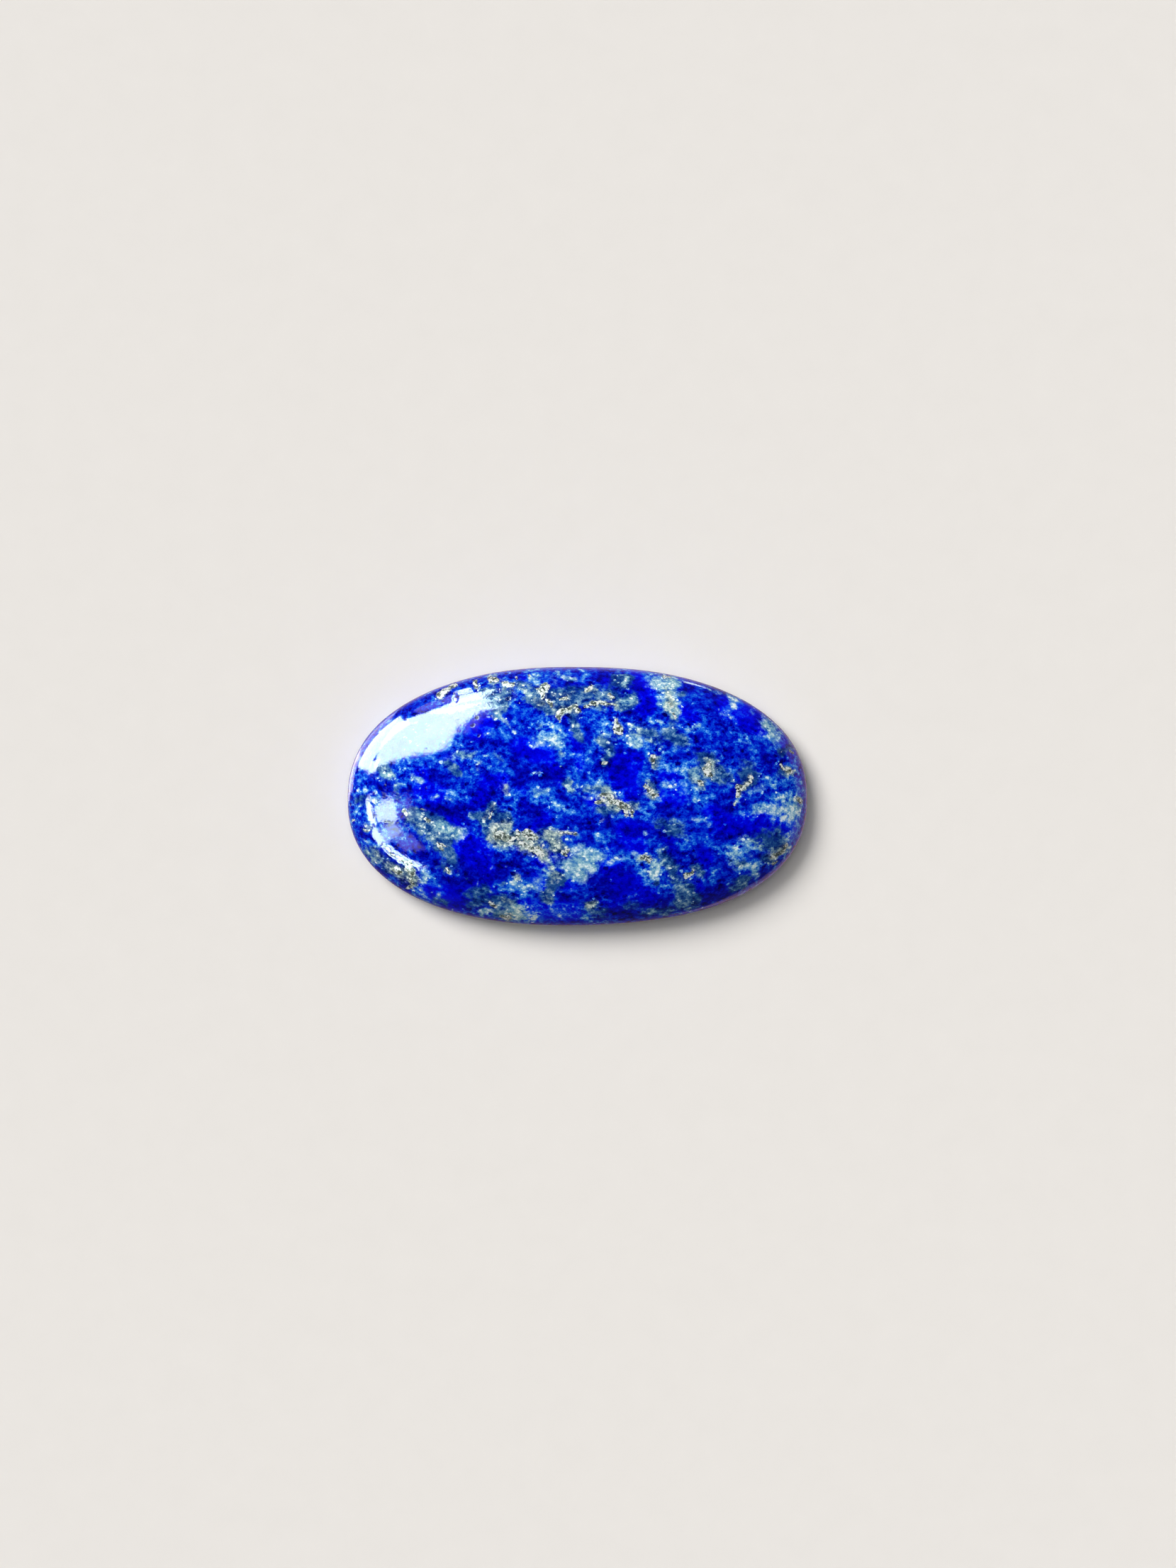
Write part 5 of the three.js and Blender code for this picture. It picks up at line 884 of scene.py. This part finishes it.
def add_node(tree, kind, settings, values, output=0):
    """Adds a node, sets it up, then fills its inputs with numbers, colours or other nodes' outputs."""
    node = tree.nodes.new(kind)
    for name, value in settings.items():
        if name == "stops":
            set_stops(node.color_ramp, value)
        else:
            setattr(node, name, value)
    for name, value in values.items():
        if isinstance(value, Wire):
            tree.links.new(value.socket, node.inputs[name])
        else:
            node.inputs[name].default_value = value
    return Wire(node.outputs[output])


def set_stops(colour_ramp, stops):
    """Gives a colour ramp its stops, as (position, colour)."""
    while len(colour_ramp.elements) < len(stops):
        colour_ramp.elements.new(1)
    for element, (position, colour) in zip(colour_ramp.elements, stops):
        element.position = position
        element.color = colour


def ramp(tree, level, stops):
    """The colour at this level of the stops."""
    return add_node(tree, "ShaderNodeValToRGB", {"stops": stops}, {0: level}, output="Color")


def mix(tree, factor, first, second):
    """The first colour with the second laid over it by a factor."""
    return add_node(tree, "ShaderNodeMix", {"data_type": "RGBA"}, {0: factor, 6: first, 7: second}, output=2)


def srgb(red, green, blue):
    """A colour from its screen values of 0 to 255."""
    channels = [value / 255 for value in (red, green, blue)]
    linear = [value / 12.92 if value < 0.04045 else ((value + 0.055) / 1.055) ** 2.4 for value in channels]
    return (*linear, 1)


def grey(level):
    """A grey from its level of light."""
    return (level, level, level, 1)


def stone_noise(tree, place, size, detail, roughness=0.5):
    """Noise from about -0.5 to 0.5. Its size is in the units of the place."""
    values = {"Vector": place, "Scale": 1 / size, "Detail": detail, "Roughness": roughness}
    return add_node(tree, "ShaderNodeTexNoise", {}, values) - 0.5


def stone_cells(tree, place, size):
    """Angular grains of this size: the distance to the grain's middle, and two random levels for each."""
    values = {"Vector": place, "Scale": 1 / size, "Randomness": 1}
    distance = add_node(tree, "ShaderNodeTexVoronoi", {}, values, output="Distance")
    colour = add_node(tree, "ShaderNodeTexVoronoi", {}, values, output="Color")
    first = add_node(tree, "ShaderNodeSeparateColor", {}, {0: colour}, output=0)
    second = add_node(tree, "ShaderNodeSeparateColor", {}, {0: colour}, output=1)
    return distance, first, second


def stone_spots(tree, place, size, amount):
    """Scattered spots, one to a grain: amount is the share of the grains that have one."""
    distance, rank, breadth = stone_cells(tree, place, size)
    return (amount - rank).step(-0.03, 0.03) * (0.2 + 0.4 * breadth - distance).step(0, 0.15)


def stir(tree, place, size, reach):
    """Moves the places about, so that what is drawn there gets a ragged edge."""
    noise_values = {"Vector": place, "Scale": 1 / size, "Detail": 2}
    swirl = add_node(tree, "ShaderNodeTexNoise", {}, noise_values, "Color")
    values = {0: swirl, 1: (reach, reach, reach), 2: place}
    return add_node(tree, "ShaderNodeVectorMath", {"operation": "MULTIPLY_ADD"}, values)


# ---------------------------------------------------------------------------------------------------------
# The stone's material
# ---------------------------------------------------------------------------------------------------------

# The colours of the blue grains, of the purer blue, the greyed haze, the calcite, the sage matrix and the
# pyrite. Each runs from the darkest to the palest.
BLUE_STOPS = [
    (0.00, srgb(0, 0, 84)), (0.15, srgb(0, 0, 150)), (0.30, srgb(0, 15, 196)),
    (0.44, srgb(2, 56, 212)), (0.58, srgb(26, 106, 220)), (0.72, srgb(82, 154, 232)),
    (0.86, srgb(150, 202, 243)), (1.00, srgb(228, 244, 252)),
]
COBALT_STOPS = [
    (0.00, srgb(0, 0, 128)), (0.20, srgb(0, 0, 204)), (0.40, srgb(0, 8, 236)),
    (0.60, srgb(16, 84, 240)), (0.80, srgb(110, 162, 240)), (1.00, srgb(225, 238, 250)),
]
HAZE_STOPS = [
    (0.00, srgb(0, 16, 86)), (0.20, srgb(6, 46, 130)), (0.40, srgb(36, 86, 152)),
    (0.56, srgb(80, 124, 172)), (0.72, srgb(128, 166, 192)), (0.86, srgb(176, 203, 212)),
    (1.00, srgb(230, 241, 239)),
]
CHALK_STOPS = [
    (0.00, srgb(24, 92, 182)), (0.25, srgb(76, 142, 196)), (0.50, srgb(124, 178, 197)),
    (0.75, srgb(178, 216, 222)), (1.00, srgb(242, 252, 249)),
]
SAGE_STOPS = [
    (0.00, srgb(24, 58, 98)), (0.25, srgb(74, 108, 130)), (0.50, srgb(128, 154, 158)),
    (0.75, srgb(178, 198, 188)), (1.00, srgb(236, 244, 234)),
]
PYRITE_STOPS = [
    (0.00, srgb(50, 60, 58)), (0.22, srgb(92, 103, 94)), (0.45, srgb(132, 147, 135)),
    (0.65, srgb(172, 188, 177)), (0.82, srgb(212, 225, 217)), (1.00, srgb(250, 255, 252)),
]
# Painted shade, laid over the colour towards the rim
PAINTED_RIM_SHADE = srgb(4, 8, 70)
# Painted shade in the groove round each grain of pyrite
GROOVE_SHADE_COLOUR = srgb(26, 36, 58)

GRAIN_SLANT = math.radians(-28)  # the way that the blue grains run
GRAIN_SCALE = (0.88 / MM, 1.04 / MM, 1 / MM)  # they are a little longer than wide
COVER_EDGE = (0.25, 0.95)  # calcite and sage cover the blue between these amounts


class LapisPattern:
    """The stone's noises and minerals, each as a wire, and the colours that are made from them."""

    def __init__(self, tree):
        self.tree = tree
        object_place = add_node(tree, "ShaderNodeTexCoord", {}, {}, output="Object")
        turned = {"Vector": object_place, "Rotation": (0, 0, -GRAIN_SLANT), "Scale": GRAIN_SCALE}
        even_place = add_node(tree, "ShaderNodeMapping", {}, turned)
        place = stir(tree, even_place, 0.2, 0.16)
        self.ragged_place = stir(tree, place, 0.08, 0.12)

        # Noises by their size in millimetres, from the coarsest to the finest
        self.mottle = stone_noise(tree, place, 1.1, 3)
        self.cloud = stone_noise(tree, place, 0.75, 4, 0.6)
        self.blotch = stone_noise(tree, place, 0.5, 2)
        self.grain = stone_noise(tree, place, 0.28, 2)
        self.speck = stone_noise(tree, place, 0.1, 2)
        self.chips = self.random_grains(0.24)

        self.deep = self.mineral("deep")
        self.azure = self.mineral("azure")
        self.calcite = self.mineral("calcite")
        self.sage = self.mineral("sage")

        # Painted shade and painted highlights: dark spots, which the bump also sinks as small pits, and pale
        # glints, which it raises. Together they lighten and darken the blue, the calcite and the sage, and
        # the glints also the pyrite.
        shade_share = 0.4 * self.sage + 0.05
        painted_glint_share = 0.35 * self.sage + 0.25 * self.calcite + 0.012
        self.shades = stone_spots(tree, self.ragged_place, 0.3, shade_share)
        self.painted_glints = stone_spots(tree, self.ragged_place, 0.22, painted_glint_share)
        self.painted_sparkle = 0.5 * self.painted_glints - 0.3 * self.shades

    def mineral(self, name):
        return add_node(self.tree, "ShaderNodeAttribute", {"attribute_name": name}, {}, output="Fac")

    def random_grains(self, size):
        """One level from -0.5 to 0.5 for each angular grain."""
        _, level, _ = stone_cells(self.tree, self.ragged_place, size)
        return level - 0.5

    def lay(self, colour, cover, light, stops):
        """Lays a mineral over a colour, by its cover, how light it is and its stops."""
        return mix(self.tree, cover, colour, ramp(self.tree, light, stops))

    def blue_colour(self):
        """The blue grains, from deep blue to azure, with grey haze in places."""
        veil = self.mineral("slate") + 0.3 * self.sage + 1.1 * self.cloud + 0.5 * self.grain
        haze = (veil + 0.25 * self.chips).step(0.22, 0.74)
        fleck = 0.6 * self.mottle + 0.8 * self.blotch + 1.35 * self.grain + 0.7 * self.speck
        fleck = fleck + 0.12 * self.chips
        light = 0.41 + fleck * (1 - 0.5 * self.deep) + 0.28 * self.azure - 0.27 * self.deep
        light = light + 0.25 * self.calcite + self.painted_sparkle
        vivid = (self.mineral("cobalt") + 0.7 * self.cloud).step(0.1, 0.6)
        blue = self.lay(ramp(self.tree, light, BLUE_STOPS), vivid, light, COBALT_STOPS)
        return self.lay(blue, haze, light, HAZE_STOPS)

    def lay_chalk(self, colour):
        """Lays pale calcite over a colour, and gives back the new colour and the calcite's cover."""
        field = self.calcite + 0.8 * self.cloud + 0.7 * self.grain + 0.3 * self.speck
        cover = field.step(*COVER_EDGE) * (1 - 0.45 * self.azure)
        light = 0.22 + 0.42 * self.calcite + 1.3 * self.blotch + 1.7 * self.grain + self.speck + self.painted_sparkle
        return self.lay(colour, 0.85 * cover, light, CHALK_STOPS), cover

    def lay_sage(self, colour):
        """The same with the grey-green matrix."""
        field = self.sage + 1.1 * self.cloud + 0.8 * self.grain + 0.3 * self.speck - 0.4 * self.deep
        cover = field.step(*COVER_EDGE)
        light = 0.3 + 0.3 * self.sage + 0.2 * self.calcite + 1.2 * self.blotch + 1.5 * self.grain
        light = light + self.speck + self.painted_sparkle
        return self.lay(colour, 0.9 * cover, light, SAGE_STOPS), cover

    def lay_pyrite(self, colour):
        """The same with the grains of pyrite, which have painted shade in the groove round them and a light
        painted grain by grain with glints.
        """
        field = self.mineral("pyrite") + 0.9 * (self.grain + self.speck) * (0.62 + 0.38 * self.sage)
        groove = field.step(0.42, 0.5)
        cover = field.step(0.5, 0.62)
        # Painted highlights: the pyrite's light changes grain by grain up to near white, like facets that
        # catch the light, with painted glints on top
        light = 0.6 + 1.4 * self.random_grains(0.15) - self.blotch + 2.4 * self.speck + 0.6 * self.painted_glints
        # Painted shade in the groove round the grain
        colour = mix(self.tree, 0.35 * groove, colour, GROOVE_SHADE_COLOUR)
        return self.lay(colour, 0.9 * cover, light, PYRITE_STOPS), groove, cover


def make_lapis():
    """Polished lapis lazuli: blue grains, calcite, haze, and pyrite in its sage matrix."""
    material = bpy.data.materials.new("polished_lapis")
    material.use_nodes = True
    tree = material.node_tree
    shader = tree.nodes["Principled BSDF"]

    pattern = LapisPattern(tree)
    colour, chalk_cover = pattern.lay_chalk(pattern.blue_colour())
    colour, sage_cover = pattern.lay_sage(colour)
    colour, groove, pyrite_cover = pattern.lay_pyrite(colour)
    # Painted shade: the colour darkens towards the rim
    colour = mix(tree, 0.3 * pattern.mineral("rim"), colour, PAINTED_RIM_SHADE)
    roughness = 0.025 + 0.06 * sage_cover + 0.16 * pyrite_cover + 0.03 * chalk_cover
    height = pattern.grain + 0.6 * pattern.speck - 1.2 * pattern.shades + 0.6 * pattern.painted_glints
    height = height - 0.8 * groove + 1.2 * pyrite_cover
    bump = {"Strength": 0.2, "Distance": 0.02 * MM, "Height": height}
    normal = add_node(tree, "ShaderNodeBump", {}, bump, output="Normal")

    tree.links.new(colour.socket, shader.inputs["Base Color"])
    tree.links.new(roughness.socket, shader.inputs["Roughness"])
    tree.links.new((0.15 * pyrite_cover).socket, shader.inputs["Metallic"])
    tree.links.new(normal.socket, shader.inputs["Normal"])
    shader.inputs["IOR"].default_value = 1.5
    return material


# ---------------------------------------------------------------------------------------------------------
# The floor
# ---------------------------------------------------------------------------------------------------------

FLOOR_RADIUS = 600
FLOOR_CORNERS = 64
FLOOR_GAP = 0.05
FLOOR_TOOTH = 2  # the size of its mottle


def make_floor_paint():
    """Plain matt off-white, with the faintest mottle."""
    material = bpy.data.materials.new("floor_paint")
    material.use_nodes = True
    tree = material.node_tree
    shader = tree.nodes["Principled BSDF"]
    place = add_node(tree, "ShaderNodeTexCoord", {}, {}, output="Object")
    tooth = stone_noise(tree, place, FLOOR_TOOTH * MM, 2) + 0.5
    colour = mix(tree, tooth, srgb(228, 224, 219), srgb(231, 227, 222))
    tree.links.new(colour.socket, shader.inputs["Base Color"])
    shader.inputs["Roughness"].default_value = 0.9
    shader.inputs["Specular IOR Level"].default_value = 0
    return material


def make_floor():
    """A round floor just under the stone, which the polish doesn't mirror."""
    radius = FLOOR_RADIUS * MM
    points = []
    for corner in range(FLOOR_CORNERS):
        turn = 2 * math.pi * corner / FLOOR_CORNERS
        points.append((radius * math.cos(turn), radius * math.sin(turn), -FLOOR_GAP * MM))
    mesh = bpy.data.meshes.new("floor")
    mesh.from_pydata(points, [], [list(range(FLOOR_CORNERS))])
    mesh.materials.append(make_floor_paint())
    floor = bpy.data.objects.new("floor", mesh)
    bpy.context.scene.collection.objects.link(floor)
    floor.visible_glossy = False


# ---------------------------------------------------------------------------------------------------------
# Light and camera
# ---------------------------------------------------------------------------------------------------------

LIGHT_DISTANCE = 300
POWER_PER_RADIANCE = 4  # an area light's power for each square metre and unit of radiance
WINDOW_COLOUR = (0.77, 1.0, 1.0)
GLOW_COLOUR = (1.0, 0.88, 0.9)
WARM_COLOUR = (1.0, 0.62, 0.60)

# What the polish mirrors besides the panes: a dim sky, and low down a skirt that is bright on the lit side.
# Heights here run from -1 straight down to 1 straight up.
SKY_STOPS = [(0.0, grey(0.06)), (0.24, grey(0.02)), (1.0, grey(0.004))]
SKIRT_TOP = (-0.9, -0.45)  # the skirt gives way to the sky between these
LIT_SKIRT = (0.75, 0.62, 0.72, 1)
DIM_SKIRT = (0.18, 0.12, 0.13, 1)
LIT_SIDE = 125  # degrees from +X

LENS = 54.1
SENSOR = 36


def towards(azimuth, elevation):
    """The direction of a place in the sky, by degrees from +X and degrees up."""
    azimuth, elevation = math.radians(azimuth), math.radians(elevation)
    flat = math.cos(elevation)
    return Vector((flat * math.cos(azimuth), flat * math.sin(azimuth), math.sin(elevation)))


def pane_side(degrees):
    """The side of a pane that looks this wide from the stone, in metres."""
    return 2 * LIGHT_DISTANCE * MM * math.tan(math.radians(degrees / 2))


def add_pane(name, place, width, height, roll, radiance, colour=WINDOW_COLOUR):
    """A bright pane that is only seen mirrored in the polish. Its place, size and roll are in degrees."""
    light = bpy.data.lights.new(name, "AREA")
    light.shape = "RECTANGLE"
    light.size = pane_side(width)
    light.size_y = pane_side(height)
    light.energy = radiance * light.size * light.size_y * POWER_PER_RADIANCE
    light.color = colour
    pane = bpy.data.objects.new(name, light)
    direction = towards(*place)
    pane.location = direction * LIGHT_DISTANCE * MM
    turn = Quaternion((0, 0, 1), math.radians(roll))
    pane.rotation_euler = (direction.to_track_quat("Z", "Y") @ turn).to_euler()
    pane.visible_camera = False
    pane.visible_diffuse = False
    bpy.context.scene.collection.objects.link(pane)


def add_sun(name, azimuth, elevation, softness, strength):
    """Soft light that colours the stone and floor but isn't mirrored. Its breadth is in degrees."""
    light = bpy.data.lights.new(name, "SUN")
    light.angle = math.radians(softness)
    light.energy = strength
    sun = bpy.data.objects.new(name, light)
    sun.rotation_euler = towards(azimuth, elevation).to_track_quat("Z", "Y").to_euler()
    sun.visible_glossy = False
    bpy.context.scene.collection.objects.link(sun)


def make_world():
    """A pale room to look at, which the polish mirrors as a dim one with a soft glow low down."""
    world = bpy.data.worlds.new("room")
    world.use_nodes = True
    tree = world.node_tree
    direction = add_node(tree, "ShaderNodeTexCoord", {}, {}, output="Generated")
    up = add_node(tree, "ShaderNodeSeparateXYZ", {}, {0: direction}, output="Z")
    values = {0: direction, 1: towards(LIT_SIDE, 0)}
    lit = add_node(tree, "ShaderNodeVectorMath", {"operation": "DOT_PRODUCT"}, values, output="Value")
    skirt = mix(tree, lit.step(-0.3, 0.6), DIM_SKIRT, LIT_SKIRT)
    mirrored = mix(tree, up.step(*SKIRT_TOP), skirt, ramp(tree, up, SKY_STOPS))
    seen = add_node(tree, "ShaderNodeLightPath", {}, {}, output="Is Camera Ray")
    colour = mix(tree, seen, mirrored, srgb(238, 235, 231))
    tree.links.new(colour.socket, tree.nodes["Background"].inputs["Color"])
    bpy.context.scene.world = world


def make_camera():
    """Straight down on the stone, a little off its middle."""
    camera = bpy.data.cameras.new("camera")
    camera.sensor_width = SENSOR
    camera.lens = LENS
    camera.clip_start = 0.005
    camera.clip_end = 10
    viewer = bpy.data.objects.new("camera", camera)
    viewer.location = CAMERA * MM
    bpy.context.scene.collection.objects.link(viewer)
    bpy.context.scene.camera = viewer


# ---------------------------------------------------------------------------------------------------------
# The scene
# ---------------------------------------------------------------------------------------------------------

stone = build_stone()
stone.data.materials.append(make_lapis())
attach(stone, "root")
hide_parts(STONE_NODE)

make_floor()
make_world()
make_camera()

# The large window: a main pane, one below it, and small ones that finish its outline
add_pane("main_window", (135.8, 30.6), 38, 38, -51, 17.5)
add_pane("low_window", (148, 3), 30.5, 34.6, -93, 17.5)
add_pane("low_corner", (163.4, 22.2), 11.7, 8.3, -79, 18)
add_pane("end_window", (114.5, 21.5), 15, 13.5, -75, 18)
add_pane("lobe_window", (110, 13), 9, 12, -20, 18)
add_pane("spur_window", (110.3, -2.7), 15.5, 2.7, -91, 18)
add_pane("tail_window", (108.4, 35.2), 4.2, 2.6, -68, 18)

# The small window on the left, in three rows of panes
add_pane("upper_pane", (-173, 38.6), 9.5, 16, 3.5, 16.3)
add_pane("upper_strip", (-173, 24.6), 12, 7.2, 3.5, 24)
add_pane("middle_pane", (-159, 37), 7.5, 18, 18, 8)
add_pane("middle_strip", (-157.5, 23.2), 10, 9.9, 15, 19)
add_pane("lower_pane", (-140.3, 28), 19, 9.5, 20.6, 20)

# Slits that give the thin bright lines on the upper right rim and the left rim
add_pane("far_gap", (70.4, -33), 4, 8, 0, 5)
add_pane("left_gap", (168, -35), 18, 36, 0, 3.4, GLOW_COLOUR)

# Dim glows round the windows, and warmth from the right and below
add_pane("glow_beside", (121.4, 40), 15.6, 20.3, -44, 1.2, GLOW_COLOUR)
add_pane("glow_above", (119.5, 4), 12, 16, 0, 1.5, GLOW_COLOUR)
add_pane("glow_at_rim", (147, -28), 26, 34, 0, 2.1, GLOW_COLOUR)
add_pane("pane_glow", (-149, 43), 10, 12, 0, 1.7, GLOW_COLOUR)
add_pane("upper_glow", (-174, 51), 8, 8, 0, 1.6, GLOW_COLOUR)
add_pane("right_warmth", (5, -12), 70, 34, 0, 0.42, WARM_COLOUR)
add_pane("low_warmth", (-14, -48), 80, 38, 0, 0.35, WARM_COLOUR)

add_sun("key_light", 137, 48, 30, 2.8)
add_sun("top_light", 130, 76, 60, 1.2)
bpy.context.scene.view_settings.view_transform = "Standard"
